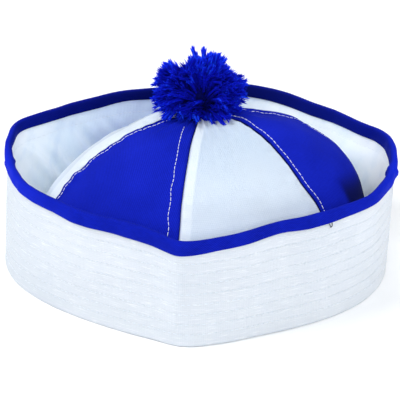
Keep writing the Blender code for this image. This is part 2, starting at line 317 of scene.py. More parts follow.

# Seams, anticlockwise: which panel lies before each one and which after it; in mm, how far its row of
# stitches lies from it on the blue side, at the foot and at the top, how strongly it puckers, how high the
# turned-in allowance stands there and how wide it falls off, the width of the painted shade in the crease
# beside it and of the doubled cloth on its white side
Seam = namedtuple("Seam", "before after stitch_foot stitch_top pucker ridge slope crease doubled")
SEAMS = (
    Seam("crown_panel_right", "crown_panel_back_right", 2.4, 7.4, 0.22, 2.0, 8.0, 0.6, 5.0),
    Seam("crown_panel_back_right", "crown_panel_back", 4.0, 4.0, 0.22, 0.42, 1.5, 0.6, 5.0),
    Seam("crown_panel_back", "crown_panel_left", 4.0, 4.0, 0.22, 0.42, 1.5, 0.6, 5.0),
    Seam("crown_panel_left", "crown_panel_front_left", 2.5, 2.5, 0.34, 1.4, 4.2, 1.9, 12.0),
    Seam("crown_panel_front_left", "crown_panel_front", 5.7, 5.7, 0.16, 0.42, 1.5, 0.05, 5.6),
    Seam("crown_panel_front", "crown_panel_right", 2.1, 2.1, 0.2, 0.42, 1.5, 0.55, 0.0),
)
BLUE_PANELS = ("crown_panel_right", "crown_panel_back", "crown_panel_front_left")

# How the sewn crown departs from the even form: where, in degrees round and degrees up from its foot, how
# far that reaches round and up, and how far the cloth stands out, in mm
CrownEase = namedtuple("CrownEase", "turn rise across up out")
CROWN_EASE = (
    CrownEase(168, 56, 15, 10, -1.4),
    CrownEase(155, 80, 40, 8, 2.4),
    CrownEase(182, 24, 20, 14, 1.3),
    CrownEase(4, 33, 26, 9, 2.2),
    CrownEase(6, 15, 26, 9, -1.6),
    CrownEase(15, 51, 22, 8, -0.5),
    CrownEase(8, 66, 34, 8, -2.0),
    CrownEase(30, 76, 40, 9, -1.6),
)

# How far its seams wander anticlockwise from an even spread: where and how far that reaches round, between
# which rises it ends, and how far it is, in degrees
SeamDrift = namedtuple("SeamDrift", "turn across low high aside")
SEAM_DRIFTS = (
    SeamDrift(-99, 18, 60, 68, 0.4),
    SeamDrift(-99, 18, 34, 42, 0.35),
    SeamDrift(-42, 18, 31, 43, 2.5),
)

# Colours in linear light. The white of the crown, from the gaps in its weave to its threads, near the apex,
# where painted shade darkens it, and where a seam doubles it; the white of the brim, the same, on its inner
# face, where painted light lightens it, in the painted shade there, which is tinted blue, in the painted
# shade of its slack folds and in its slubs
WHITE_LOW = (0.51, 0.59, 0.70)
WHITE_HIGH = (0.62, 0.69, 0.79)
WHITE_TOP_PAINTED_SHADE = (0.455, 0.54, 0.655)
WHITE_DOUBLED = (0.70, 0.77, 0.84)
BRIM_LOW = (0.575, 0.622, 0.682)
BRIM_HIGH = (0.687, 0.717, 0.762)
BRIM_INSIDE_PAINTED_LIGHT = (0.90, 0.95, 1.0)
BRIM_SHADE = (0.75, 0.87, 1.0)
BRIM_FOLD_SHADE = (0.66, 0.77, 0.92)
BRIM_SLUB = (0.83, 0.85, 0.87)

# The blues: of the crown and of the painted shade in its creases and deep by the brim, and of the tape, with
# painted light towards its ends and painted shade on its inner side
BLUE_LOW = (0.0008, 0.006, 0.25)
BLUE_HIGH = (0.005, 0.016, 0.48)
BLUE_PAINTED_SHADE = (0.0004, 0.002, 0.05)
TAPE_LOW = (0.0006, 0.005, 0.20)
TAPE_HIGH = (0.004, 0.014, 0.45)
TAPE_END_PAINTED_LIGHT = (0.006, 0.022, 0.70)
TAPE_INSIDE_PAINTED_SHADE = (0.0006, 0.003, 0.08)

# Threads, from their dark turns to their bright ones
SEAM_THREAD = ((0.72, 0.76, 0.84), (0.88, 0.90, 0.95))
QUILTING_THREAD = ((0.72, 0.80, 0.90), (0.84, 0.90, 0.97))
TAPE_THREAD = ((0.002, 0.003, 0.012), (0.004, 0.006, 0.03))

# Yarn: from its root, in painted shade, to its tip, in painted light, in its frayed ends, in its core,
# painted dark as shade, and its painted highlight where it catches most light
YARN = ((0.0004, 0.0007, 0.03), (0.0025, 0.0075, 0.66))
YARN_ENDS = ((0.0006, 0.0015, 0.16), (0.006, 0.02, 1.0))
YARN_CORE_PAINTED_SHADE = ((0.0005, 0.001, 0.03), (0.002, 0.004, 0.12))
YARN_PAINTED_HIGHLIGHT = (0.012, 0.085, 1.0)

# The studio: its sky, its floor, and its lamps' places and widths in mm and powers in watts
SKY = (0.80, 0.90, 1.0)
SKY_STRENGTH = 0.16
FLOOR = ((0.93, 0.935, 0.94), (0.96, 0.965, 0.97))
FLOOR_REACH = 4000.0
LAMP_AIM = (0, 0, 50)
Lamp = namedtuple("Lamp", "name place width power")
LAMPS = (
    Lamp("front_light", (0, -1500, 760), 900, 11.6),
    Lamp("high_light", (0, -700, 1600), 1000, 4.2),
    Lamp("right_front_light", (1250, -950, 850), 900, 4.5),
    Lamp("left_light", (-1250, -100, 1400), 1000, 24.5),
    Lamp("right_light", (1250, -100, 1400), 1000, 11.0),
    Lamp("back_light", (0, 1250, 1400), 1000, 9.6),
)


# ---------------------------------------------------------------- arrays


def smooth(low, high, x):
    """0 below low, 1 above high and a smooth rise between them."""
    share = np.clip((x - low) / (high - low), 0, 1)
    return share * share * (3 - 2 * share)


def bell(x, width):
    """1 at 0 and falling off to either side, as far as width goes."""
    return np.exp(-((x / width) ** 2))


def off_turn(azimuth, middle):
    """Degrees from the azimuth middle, the shorter way round."""
    return np.mod(azimuth - middle + 180, 360) - 180


def stretches_at(azimuth, *stretches):
    """By how much stretches round the cap make it differ at an azimuth."""
    return sum(stretch.size * bell(off_turn(azimuth, stretch.turn), stretch.across) for stretch in stretches)


def unit(vectors):
    """The vectors' directions, 1 long."""
    return vectors / np.linalg.norm(vectors, axis=-1, keepdims=True)


def ripples(places, wavelength, chance, waves=16):
    """A smooth random field over points in mm, mostly between -1 and 1."""
    total = np.zeros(places.shape[:-1])
    for _ in range(waves):
        direction = unit(chance.normal(size=places.shape[-1]))
        pace = 2 * math.pi / (wavelength * chance.uniform(0.75, 1.4))
        total += np.sin(places @ (direction * pace) + chance.uniform(0, 2 * math.pi))
    return total / math.sqrt(waves)


def around(azimuth, radius, height):
    """Points in mm from azimuths in degrees, radii and heights."""
    turn = np.radians(azimuth)
    return np.stack(np.broadcast_arrays(radius * np.cos(turn), radius * np.sin(turn), height), axis=-1)


def grid_normals(points):
    """The outward direction at each point of a grid of rows and columns."""
    along = np.gradient(points, axis=1)
    up = np.gradient(points, axis=0)
    return unit(np.cross(along, up))


def run_along(points, axis):
    """The distance walked along a grid's rows or columns up to each point."""
    steps = np.linalg.norm(np.diff(points, axis=axis), axis=-1)
    return np.insert(np.cumsum(steps, axis=axis), 0, 0, axis=axis)


# ---------------------------------------------------------------- the frame


def node_points(name):
    """A CAD node's points, in mm."""
    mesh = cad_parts[name].data
    points = np.empty(len(mesh.vertices) * 3)
    mesh.vertices.foreach_get("co", points)
    return points.reshape(-1, 3) / MM


def ring_steps(points):
    """Which of the frame's even steps round the cap each point lies on."""
    turns = np.arctan2(points[:, 1], points[:, 0]) / (2 * math.pi)
    return np.round(turns * FRAME_STEPS).astype(int) % FRAME_STEPS


def smooth_ring(values):
    """A function of azimuth that runs smoothly through values given at even steps round the cap."""
    fine = np.fft.irfft(np.fft.rfft(values), FINE_STEPS) * FINE_STEPS / len(values)
    azimuths = np.arange(FINE_STEPS + 1) * 360 / FINE_STEPS
    return lambda azimuth: np.interp(np.mod(azimuth, 360), azimuths, np.append(fine, fine[0]))


def read_brim():
    """Functions of azimuth for the brim's wall: outer radius at the fold and at the top of its cloth, the
    height of that top and the swell between."""
    points = node_points("brim")
    steps = ring_steps(points)
    radii = np.hypot(points[:, 0], points[:, 1])
    heights = points[:, 2]
    folds = []
    rims = []
    tops = []
    swells = []
    for step in range(FRAME_STEPS):
        here = steps == step
        radius = radii[here]
        height = heights[here]
        top = height.max()
        fold = radius[height < FOLD_RISE + LEVEL_MARGIN].max()
        rim = radius[height > top - LEVEL_MARGIN].max()
        lifts = []
        for level in np.unique(np.round(height[(height > LIP_HEIGHT + 1) & (height < top - 1)], 2)):
            share = (level - FOLD_RISE) / (top - FOLD_RISE)
            outside = radius[np.abs(height - level) < LEVEL_MARGIN / 2].max()
            lifts.append((outside - fold - (rim - fold) * share) / math.sin(math.pi * share))
        folds.append(fold)
        rims.append(rim)
        tops.append(top)
        swells.append(np.mean(lifts[:2]))
    return [smooth_ring(np.array(values)) for values in (folds, rims, tops, swells)]


fold_radius, even_rim_radius, even_cloth_top, wall_swell = read_brim()
rim_out, rim_up, outer_hem, inner_hem = [smooth_ring(column) for column in np.array(RIM_EASE).T[1:]]


def rim_radius(azimuth):
    """The brim's outer radius at the top of its cloth."""
    return even_rim_radius(azimuth) + rim_out(azimuth)


def cloth_top(azimuth):
    """The height of the top of the brim's cloth, under its tape."""
    return even_cloth_top(azimuth) + rim_up(azimuth)


def foot_ends(name):
    """The azimuths between which a crown panel's foot runs."""
    points = node_points(name)
    foot = points[points[:, 2] < points[:, 2].min() + LEVEL_MARGIN]
    middle = math.atan2(foot[:, 1].sum(), foot[:, 0].sum())
    turned = np.angle(np.exp(1j * (np.arctan2(foot[:, 1], foot[:, 0]) - middle)))
    return math.degrees(middle + turned.min()), math.degrees(middle + turned.max())


def panel_spans():
    """Each crown panel's azimuths from seam to seam, with each seam half way between two feet."""
    ends = {seam.before: foot_ends(seam.before) for seam in SEAMS}
    seams = []
    for seam in SEAMS:
        gap = off_turn(ends[seam.after][0], ends[seam.before][1])
        seams.append(ends[seam.before][1] + gap / 2)
    spans = {}
    for number, seam in enumerate(SEAMS):
        width = (seams[number] - seams[number - 1]) % 360
        spans[seam.before] = (seams[number] - width, seams[number])
    return spans


class PanelForm:
    """The outside of one crown panel, as its distance from the middle of the crown's foot: a smooth surface
    fitted to where rays from outside meet the CAD. Rises are in degrees, and the rays' length in metres."""

    ORDERS = (6, 9)
    RAY_LENGTH = 0.3
    ACROSS = np.linspace(0.02, 0.98, 25)
    RISES = np.linspace(1.0, 88.0, 48)

    def __init__(self, name, span):
        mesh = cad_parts[name].data
        corners = [vertex.co.copy() for vertex in mesh.vertices]
        tree = BVHTree.FromPolygons(corners, [tuple(face.vertices) for face in mesh.polygons])
        self.span = span
        self.foot = min(corner.z for corner in corners) / MM
        rows = []
        for across in self.ACROSS:
            for rise in self.RISES:
                direction = Vector(self.direction(across, rise))
                start = Vector((0, 0, self.foot * MM)) + direction * self.RAY_LENGTH
                hit = tree.ray_cast(start, -direction)[0]
                if hit is not None:
                    distance = self.RAY_LENGTH - (hit - start).length
                    rows.append((across, rise, distance / MM))
        across, rise, distance = np.array(rows).T
        self.fit = np.linalg.lstsq(self.terms(across, rise), distance, rcond=None)[0]

    def direction(self, across, rise):
        turn = self.span[0] + (self.span[1] - self.span[0]) * across
        lift = np.radians(rise)
        return around(turn, np.cos(lift), np.sin(lift))

    def terms(self, across, rise):
        return np.polynomial.chebyshev.chebvander2d(2 * across - 1, rise / 45 - 1, self.ORDERS)

    def point(self, across, rise):
        distance = self.terms(across, rise) @ self.fit
        return self.direction(across, rise) * distance[..., None] + np.array((0, 0, self.foot))


# ---------------------------------------------------------------- drawing meshes


def draw(name, points, faces, finish, cloth=None, seams=None):
    """A mesh object from points in mm. cloth and seams are mapped for each corner of each face."""
    mesh = bpy.data.meshes.new(name)
    mesh.from_pydata((points * MM).tolist(), [], faces.tolist())
    for layer, places in (("Cloth", cloth), ("Seams", seams)):
        if places is not None:
            mesh.uv_layers.new(name=layer).data.foreach_set("uv", places.astype(np.float32).ravel())
    mesh.shade_smooth()
    mesh.materials.append(finish)
    piece = bpy.data.objects.new(name, mesh)
    bpy.context.scene.collection.objects.link(piece)
    return piece


def fit_out(piece, slot, *nodes):
    """The piece moves with the cap and stands for CAD nodes, which it hides. Its slot is not used."""
    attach(piece, "root")
    if nodes:
        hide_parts(*nodes)
    return piece


def grid_faces(rows, columns):
    """Four-cornered faces between the points of a grid."""
    first = (np.arange(rows - 1)[:, None] * columns + np.arange(columns - 1)).ravel()
    return np.stack((first, first + 1, first + columns + 1, first + columns), axis=-1)


def ring_faces(levels, columns):
    """Faces of a closed ring: for its points, which join up all round, and for its map, which is cut open
    at one column and one level."""
    mapped = grid_faces(levels + 1, columns + 1)
    level = mapped // (columns + 1) % levels
    column = mapped % (columns + 1) % columns
    faces = level * columns + column
    return faces[:, ::-1], mapped[:, ::-1]


def draw_tubes(name, lines, radii, sides, finish, tones):
    """One mesh of many tubes. lines holds each tube's points, radii its radius at each, tones a value that
    its map keeps beside the share of its length. Only tubes of four sides have closed ends."""
    count, rings, _ = lines.shape
    along = unit(np.gradient(lines, axis=1))
    rest = np.where(np.abs(along[:, :1, 2:]) > 0.8, np.array((1.0, 0, 0)), np.array((0, 0, 1.0)))
    side = unit(np.cross(along, np.broadcast_to(rest, along.shape)))
    other = np.cross(along, side)
    turns = 2 * math.pi * np.arange(sides) / sides
    spokes = side[:, :, None] * np.cos(turns)[:, None] + other[:, :, None] * np.sin(turns)[:, None]
    points = lines[:, :, None] + spokes * radii[:, :, None, None]
    ring = np.arange(rings - 1)[:, None] * sides
    here = (ring + np.arange(sides)).ravel()
    there = (ring + (np.arange(sides) + 1) % sides).ravel()
    tube = np.stack((here, there, there + sides, here + sides), axis=-1)
    caps = [np.arange(sides)[::-1], np.arange(sides) + (rings - 1) * sides]
    if sides == 4:
        tube = np.concatenate((tube, caps))
    faces = (np.arange(count)[:, None, None] * rings * sides + tube).reshape(-1, 4)
    shares = np.broadcast_to(np.linspace(0, 1, rings)[None, :, None], points.shape[:3])
    levels = np.broadcast_to(tones[:, None, None], points.shape[:3])
    places = np.stack((levels, shares), axis=-1).reshape(-1, 2)
    return draw(name, points.reshape(-1, 3), faces, finish, cloth=places[faces])


def stitch_lines(starts, ends, outward, radius):
    """Stitches that lie on the cloth and dive into it at both ends."""
    shares = np.array((0.0, 0.14, 0.5, 0.86, 1.0))[:, None]
    lifts = np.array((-0.9, 0.55, 0.8, 0.55, -0.9))[:, None] * radius
    lines = starts[:, None] + (ends - starts)[:, None] * shares + outward[:, None] * lifts
    radii = np.broadcast_to(radius * np.array((0.55, 1.0, 1.0, 1.0, 0.55)), lines.shape[:2])
    return lines, radii


def stitches_on(line, outward, pitch, length):
    """Starts, ends and outward directions of even stitches along an open line of points."""
    walked = np.insert(np.cumsum(np.linalg.norm(np.diff(line, axis=0), axis=1)), 0, 0)
    starts = np.arange(pitch / 2, walked[-1] - pitch, pitch)

    def at(distance, values):
        return np.stack([np.interp(distance, walked, values[:, axis]) for axis in range(3)], axis=-1)

    return at(starts, line), at(starts + length, line), unit(at(starts + length / 2, outward))


def sewn(name, rows, finish, chance):
    """One white piece of all rows of stitches, each given as its lines and radii."""
    lines, radii = (np.concatenate(parts) for parts in zip(*rows))
    tones = chance.uniform(0, 1, len(lines))
    piece = draw_tubes(name, lines, radii, 4, finish, tones)
    return fit_out(piece, "white_cloth")


# ---------------------------------------------------------------- finishes


class Signal:
    """A value in a material. Arithmetic on it adds Math nodes."""

    def __init__(self, finish, socket):
        self.finish = finish
        self.socket = socket

    def math(self, operation, *values):
        """A Math node of the values, or of this one alone."""
        sockets = dict(enumerate(values or (self,)))
        return self.finish.node("ShaderNodeMath", {"operation": operation}, sockets)

    def __add__(self, other):
        return self.math("ADD", self, other)

    def __sub__(self, other):
        return self.math("SUBTRACT", self, other)

    def __rsub__(self, other):
        return self.math("SUBTRACT", other, self)

    def __mul__(self, other):
        return self.math("MULTIPLY", self, other)

    __radd__ = __add__
    __rmul__ = __mul__

    def wave(self, length):
        """A cosine from 0 to 1 that repeats each length."""
        return (self * (2 * math.pi / length)).math("COSINE") * 0.5 + 0.5

    def smooth(self, low, high):
        """0 below low, 1 above high and a smooth rise between them."""
        settings = {"interpolation_type": "SMOOTHSTEP"}
        sockets = {"Value": self, "From Min": low, "From Max": high}
        return self.finish.node("ShaderNodeMapRange", settings, sockets)


class Finish:
    """A material, put together from its nodes."""

    def __init__(self, name):
        self.material = bpy.data.materials.new(name)
        self.material.use_nodes = True
        self.tree = self.material.node_tree
        self.tree.nodes.clear()

    def node(self, kind, settings, sockets, output=0):
        """A node with its settings set first, then its sockets, and one of its outputs."""
        made = self.tree.nodes.new(kind)
        for name, value in settings.items():
            setattr(made, name, value)
        for name, value in sockets.items():
            if isinstance(value, Signal):
                self.tree.links.new(value.socket, made.inputs[name])
            else:
                made.inputs[name].default_value = value
        return Signal(self, made.outputs[output] if made.outputs else None)

    def map_of(self, layer):
        """The two values of a piece's map, in mm or as shares."""
        place = self.node("ShaderNodeUVMap", {"uv_map": layer}, {})
        return [self.node("ShaderNodeSeparateXYZ", {}, {0: place}, output) for output in (0, 1)]

    def place(self, x, y, z=0.0):
        return self.node("ShaderNodeCombineXYZ", {}, {0: x, 1: y, 2: z})

    def object_place(self):
        """Where a point is in its object, in metres."""
        return self.node("ShaderNodeTexCoord", {}, {}, "Object")

    def speckle(self, place, scale=1.0, detail=2.0):
        """Soft random spots, from 0 to 1."""
        sockets = {"Vector": place, "Scale": scale, "Detail": detail}
        return self.node("ShaderNodeTexNoise", {}, sockets)

    def mix(self, share, low, high):
        """From the colour low to the colour high."""
        low, high = (value if isinstance(value, Signal) else (*value, 1.0) for value in (low, high))
        return self.node("ShaderNodeMix", {"data_type": "RGBA"}, {0: share, 6: low, 7: high}, 2)

    def surface(self, colour, roughness, height, **constants):
        """The shader: a colour, a roughness and a relief in mm. Its other sockets are the same all over."""
        bump = self.node("ShaderNodeBump", {}, {"Strength": 1.0, "Distance": MM, "Height": height})
        sockets = {"Base Color": colour, "Roughness": roughness, "Normal": bump}
        for name, value in constants.items():
            sockets[name.replace("_", " ")] = value
        shader = self.node("ShaderNodeBsdfPrincipled", {}, sockets)
        self.node("ShaderNodeOutputMaterial", {}, {"Surface": shader})
        return self.material


def plain_weave(u, v, pitch):
    """The relief of a plain weave, from 0 to 1: threads over and under each other."""
    over = (u * (math.pi / pitch)).math("SINE") * (v * (math.pi / pitch)).math("SINE")
    return over.math("ABSOLUTE")


def twill_weave(u, v, rib, pitch):
    """The relief of a twill, from 0 to 1: slanting ribs with their threads."""
    ribs = (u + v).wave(rib)
    threads = (u - v).wave(pitch)
    return ribs * 0.75 + threads * 0.25


def white_cloth(name, quilted):
    """Plain weave with slubs and faint clouds, darker along an edge. The quilted brim's is lighter on its
    inner face, as painted light, but for the painted shade there and in its slack folds, and the crown's is
    lighter where a seam doubles it and darker near the apex, as painted shade."""
    finish = Finish(name)
    u, v = finish.map_of("Cloth")
    edge, inner = finish.map_of("Seams")
    threads = finish.speckle(finish.place(u * 0.12, v * 1.6))
    crossing = finish.speckle(finish.place(u * 1.6, v * 0.12))
    clouds = finish.speckle(finish.place(u, v), 0.035)
    weave = plain_weave(u, v, 0.95)
    slubs = threads * 0.5 + crossing * 0.5
    tone = clouds * 0.35 + slubs * 0.35 + weave * 0.25 - (1 - edge.smooth(*DARK_EDGE)) * 0.25
    if quilted:
        creases = finish.speckle(finish.place(u * 0.11 + v * 0.05, v * 0.06 - u * 0.03), detail=4.0)
        colour = finish.mix(tone.smooth(0.1, 0.85), BRIM_LOW, BRIM_HIGH)
        colour = finish.mix(threads.smooth(0.56, 0.72) * 0.5, colour, BRIM_SLUB)
        # Painted light: the inner face lighter than the outer one, and the outer face partly so at the right
        # end
        colour = finish.mix(inner.smooth(0.0, 0.5), colour, BRIM_INSIDE_PAINTED_LIGHT)
        # Painted shade on the inner face, most towards its back
        colour = finish.mix(inner.smooth(0.5, 1.0), colour, BRIM_SHADE)
        # Painted shade of slack folds on the inner face
        colour = finish.mix(creases.smooth(0.45, 0.7) * inner * 0.6, colour, BRIM_FOLD_SHADE)
    else:
        colour = finish.mix((tone + inner * 0.2).smooth(0.1, 0.85), WHITE_LOW, WHITE_HIGH)
        # Painted shade: the crown's white darker towards the apex
        colour = finish.mix(v.smooth(60.0, 105.0), colour, WHITE_TOP_PAINTED_SHADE)
        colour = finish.mix(inner * 0.6, colour, WHITE_DOUBLED)
    return finish.surface(
        colour, 0.82 + slubs * 0.12, weave * 0.07 + slubs * 0.10, Specular_IOR_Level=0.2, Sheen_Weight=0.1,
        Sheen_Roughness=0.5, Subsurface_Weight=0.5, Subsurface_Radius=(2.0, 2.1, 2.3), Subsurface_Scale=MM,
    )


def blue_cloth():
    """Fine slanting twill with slubs and clouds, a little darker near its foot with painted shade, and dark
    with painted shade in its creases and deep by the brim.
    """
    finish = Finish("blue_twill")
    u, v = finish.map_of("Cloth")
    _, painted_shade_share = finish.map_of("Seams")
    ribs = twill_weave(u, v, 1.25, 0.8)
    slubs = finish.speckle(finish.place(u * 0.5, v * 1.4))
    clouds = finish.speckle(finish.place(u, v), 0.04)
    # Painted shade: a little darker near the foot
    tone = ribs * 0.35 + slubs * 0.35 + clouds * 0.5 - (1 - v.smooth(15.0, 60.0)) * 0.15
    colour = finish.mix(tone.smooth(0.15, 1.0), BLUE_LOW, BLUE_HIGH)
    # Painted shade in the creases and deep between crown and brim
    colour = finish.mix(painted_shade_share, colour, BLUE_PAINTED_SHADE)
    return finish.surface(
        colour, 0.78 + slubs * 0.15, ribs * 0.08 + slubs * 0.06, Specular_IOR_Level=0.07, Sheen_Weight=0.03,
        Sheen_Tint=(0.1, 0.2, 1.0, 1.0),
    )


def blue_tape():
    """Folded tape: ribbed across, brighter with painted light towards the cap's ends and darker with painted
    shade on its inner side.
    """
    finish = Finish("blue_tape")
    u, v = finish.map_of("Cloth")
    inside, ends = finish.map_of("Seams")
    ribs = twill_weave(u, v, 1.1, 0.7)
    slubs = finish.speckle(finish.place(u * 0.3, v * 1.5))
    clouds = finish.speckle(finish.place(u, v), 0.06)
    tone = ribs * 0.3 + slubs * 0.4 + clouds * 0.4
    colour = finish.mix(tone.smooth(0.2, 0.9), TAPE_LOW, TAPE_HIGH)
    # Painted light towards the cap's ends
    colour = finish.mix(ends, colour, TAPE_END_PAINTED_LIGHT)
    # Painted shade on the inner side
    colour = finish.mix(inside, colour, TAPE_INSIDE_PAINTED_SHADE)
    return finish.surface(
        colour, 0.62 + slubs * 0.2, ribs * 0.06 + slubs * 0.06, Specular_IOR_Level=0.04, Sheen_Weight=0.02,
        Sheen_Tint=(0.05, 0.2, 1.0, 1.0),
    )


def thread(name, colours):
    """Twisted thread, each stitch a little apart from the next."""
    finish = Finish(name)
    tone, along = finish.map_of("Cloth")
    twist = (along * 9.0 + tone * 3.0).wave(1.0)
    colour = finish.mix(twist * 0.5 + tone * 0.5, *colours)
    return finish.surface(colour, 0.55 + twist * 0.15, twist * 0.05, Specular_IOR_Level=0.3)


def yarn(name, colours, low):
    """Acrylic yarn: darker with painted shade where it leaves the tie and brighter with painted light
    towards its cut ends, from the share low of its length, with a painted highlight, each strand a little
    apart from the next."""
    finish = Finish(name)
    tone, along = finish.map_of("Cloth")
    fibres = finish.speckle(finish.place(tone * 60.0, along * 24.0), detail=3.0)
    # Painted shade near the tie and painted light towards the cut ends
    lit = along.smooth(low, 1.0) * 0.5 + tone * 0.5
    share = lit + (fibres - 0.5) * 0.8
    colour = finish.mix(share, *colours)
    # Painted highlight
    colour = finish.mix(share.smooth(0.7, 1.1), colour, YARN_PAINTED_HIGHLIGHT)
    return finish.surface(
        colour, 0.8 + fibres * 0.15, fibres * 0.25, Specular_IOR_Level=0.04, Sheen_Weight=0.06,
        Sheen_Tint=(0.02, 0.04, 1.0, 1.0),
    )


def shaded_yarn_core():
    """The yarn in the pompom's middle, painted dark as the shade deep inside it."""
    finish = Finish("shaded_yarn_core")
    fibres = finish.speckle(finish.object_place(), 900.0, 3.0)
    colour = finish.mix(fibres, *YARN_CORE_PAINTED_SHADE)
    return finish.surface(colour, 0.95, fibres * 0.5, Specular_IOR_Level=0.05)


def pale_floor():
    finish = Finish("pale_floor")
    grain = finish.speckle(finish.object_place(), 60.0)
    return finish.surface(finish.mix(grain, *FLOOR), 0.9, grain * 0.02, Specular_IOR_Level=0.1)


# ---------------------------------------------------------------- the brim and its tape


def wall_wander(azimuth, share):
    """How far the wall stands out or in from its even form, in mm: soft upright waves, the front crease and
    the slack folds at its left end."""
    chance = np.random.default_rng(SEED)
    place = around(azimuth, WAVE_RING, 20.0 * share)
    waves = 0.42 * ripples(place, 34, chance) + 0.16 * ripples(place, 13, chance)
    crease = stretches_at(azimuth, *FRONT_CREASE)
    lap = np.radians(azimuth)
    diagonal = np.sin(lap * 17 + share * 5.2) + 0.6 * np.sin(lap * 29 - share * 4.0)
    folds = stretches_at(azimuth, LEFT_FOLDS) * diagonal
    return smooth(0.03, 0.5, share) * (waves + folds) + crease * smooth(0, 0.3, share)


def wall_height(azimuth, share):
    """The height on the brim's wall, share of the way up its cloth."""
    return FOLD_RISE + (cloth_top(azimuth) - FOLD_RISE) * share


def wall_radius(azimuth, share):
    """Outer radius of the brim's wall, share of the way up its cloth."""
    lean = (rim_radius(azimuth) - fold_radius(azimuth)) * share
    swell = wall_swell(azimuth) * np.sin(math.pi * share)
    return fold_radius(azimuth) + lean + swell + wall_wander(azimuth, share)


def quilting(azimuth, share):
    """How far the quilting swells the brim's outer face, in mm, or below 0 pulls it in: tighter in some
    places than in others, and slack at the right front."""
    chance = np.random.default_rng(SEED + 6)
    place = around(azimuth, WAVE_RING, 150.0 * share)
    pull = np.clip(0.75 + 0.45 * ripples(place, 42, chance), 0.1, 1.6)
    pull = pull * (1 + stretches_at(azimuth, SLACK_QUILTING))
    step = np.mod(share * QUILT_STEPS + 0.5, 1) - 0.5
    quilted = smooth(0.5, 0.9, share * QUILT_STEPS) * (1 - smooth(8.6, 9.2, share * QUILT_STEPS))
    return pull * quilted * (QUILT_SWELL * (1 - bell(step, 0.3)) - QUILT_DEPTH * bell(step, 0.12))


def inner_pull(azimuth, share):
    """How far the inner face stands in, in mm: one row of quilting and slack folds that slant down from the
    rim, most at its left."""
    chance = np.random.default_rng(SEED + 5)
    step = share * QUILT_STEPS - INNER_ROW
    place = around(azimuth, WAVE_RING, 60.0 * share)
    slant = np.radians(azimuth) * WAVE_RING - 34.0 * share
    wave = np.sin(slant / 2.5 + 1.5 * ripples(place, 40, chance)) + 0.5 * np.sin(slant / 1.5 + 2)
    slack = smooth(0.05, 0.3, share) * (1 - smooth(0.68, 0.86, share))
    strength = stretches_at(azimuth, INNER_FOLDS) * (0.6 + 0.4 * ripples(place, 26, chance))
    folds = 0.8 + wave * strength + 0.3 * ripples(place, 24, chance)
    return slack * np.maximum(folds, -0.1) - 0.12 * bell(step, 0.12)


def brim_shares():
    """Levels of the wall, crowded towards each row of quilting."""
    levels = [(step + level) / QUILT_STEPS for step in range(QUILT_STEPS) for level in QUILT_LEVELS]
    return np.array([*levels, 1.0])


def inner_levels():
    """Levels of the inner face, even but for those at its row of quilting."""
    row = (INNER_ROW + np.array((-0.3, -0.15, 0.0, 0.15, 0.3))) / QUILT_STEPS
    return np.unique(np.concatenate((np.linspace(0, 1, 27), row)))


def brim_outline(azimuth):
    """The brim's closed outline at each azimuth: radii and heights, by its levels and azimuths."""
    azimuth = azimuth[None, :]
    shares = brim_shares()[:, None]
    outer_face = wall_radius(azimuth, shares) + quilting(azimuth, shares)
    inner_shares = inner_levels()[:, None]
    inner_face = wall_radius(azimuth, inner_shares) - BRIM_CLOTH - inner_pull(azimuth, inner_shares)
    fold = fold_radius(azimuth)
    lip_outer = fold - BRIM_CLOTH - FOLD_CHANNEL
    lip_inner = lip_outer - BRIM_CLOTH
    turns = np.radians(np.linspace(0, 90, FOLD_LEVELS + 1))[:, None]
    inset = FOLD_ROUNDING * (1 - np.sin(turns))
    level = FOLD_RISE * (1 - np.cos(turns))
    shoulder = LIP_HEIGHT - LIP_ROUNDING
    lip_levels = np.linspace(shoulder, FOLD_RISE, 3)[:, None]
    return stacked((
        (fold - inset[:-1], level[:-1]),
        (outer_face, wall_height(azimuth, shares)),
        (inner_face[::-1], wall_height(azimuth, inner_shares)[::-1]),
        (lip_outer, FOLD_RISE),
        (lip_outer, shoulder),
        (lip_outer - BRIM_CLOTH / 2, LIP_HEIGHT),
        (lip_inner, lip_levels),
        (lip_inner + inset[::-1][1:], level[::-1][1:]),
    ))


def stacked(parts):
    """One outline from its parts, each of radii and heights by levels and azimuths."""
    parts = [np.broadcast_arrays(*part) for part in parts]
    return np.concatenate([radii for radii, _ in parts]), np.concatenate([heights for _, heights in parts])


def brim(finish):
    """The brim's cloth. Its second map holds how far it seems to lie from an edge, less at its left end
    where painted shade darkens it, and a value of 0 outside, more at the right end where painted light
    lightens it,
    0.5 inside, where painted light lightens it, and up to 1 in the painted shade there."""
    azimuth = np.linspace(0, 360, BRIM_COLUMNS, endpoint=False)
    radii, heights = brim_outline(azimuth)
    faces, mapped = ring_faces(len(radii), BRIM_COLUMNS)
    share = np.clip((heights - FOLD_RISE) / (cloth_top(azimuth) - FOLD_RISE), 0, 1)
    share = np.pad(share, ((0, 1), (0, 1)), mode="wrap")
    lap = np.broadcast_to(np.linspace(0, LAP, BRIM_COLUMNS + 1), share.shape)
    place = np.stack((lap, share * WALL_SPAN), axis=-1).reshape(-1, 2)
    turn = np.append(azimuth, 360)
    outer_levels = FOLD_LEVELS + len(brim_shares())
    inside = np.zeros(share.shape)
    # Painted light on the outer face at its right end, and painted light with painted shade on the inner
    # face
    inside[:outer_levels] = stretches_at(turn, BRIM_PAINTED_LIGHT_END)
    inside[outer_levels:-INNER_FOLD_LEVELS] = 0.5 + stretches_at(turn, *BRIM_SHADED_INSIDE)
    # Painted shade at the brim's left end, carried as a nearer edge
    edge_and_end_shade = np.broadcast_to(DARK_EDGE[1] + stretches_at(turn, BRIM_PAINTED_SHADE_END), share.shape)
    edges = np.stack((edge_and_end_shade, inside), axis=-1).reshape(-1, 2)
    points = around(azimuth, radii, heights).reshape(-1, 3)
    piece = draw("brim_cloth", points, faces, finish, place[mapped], edges[mapped])
    return fit_out(piece, "white_cloth", "brim")


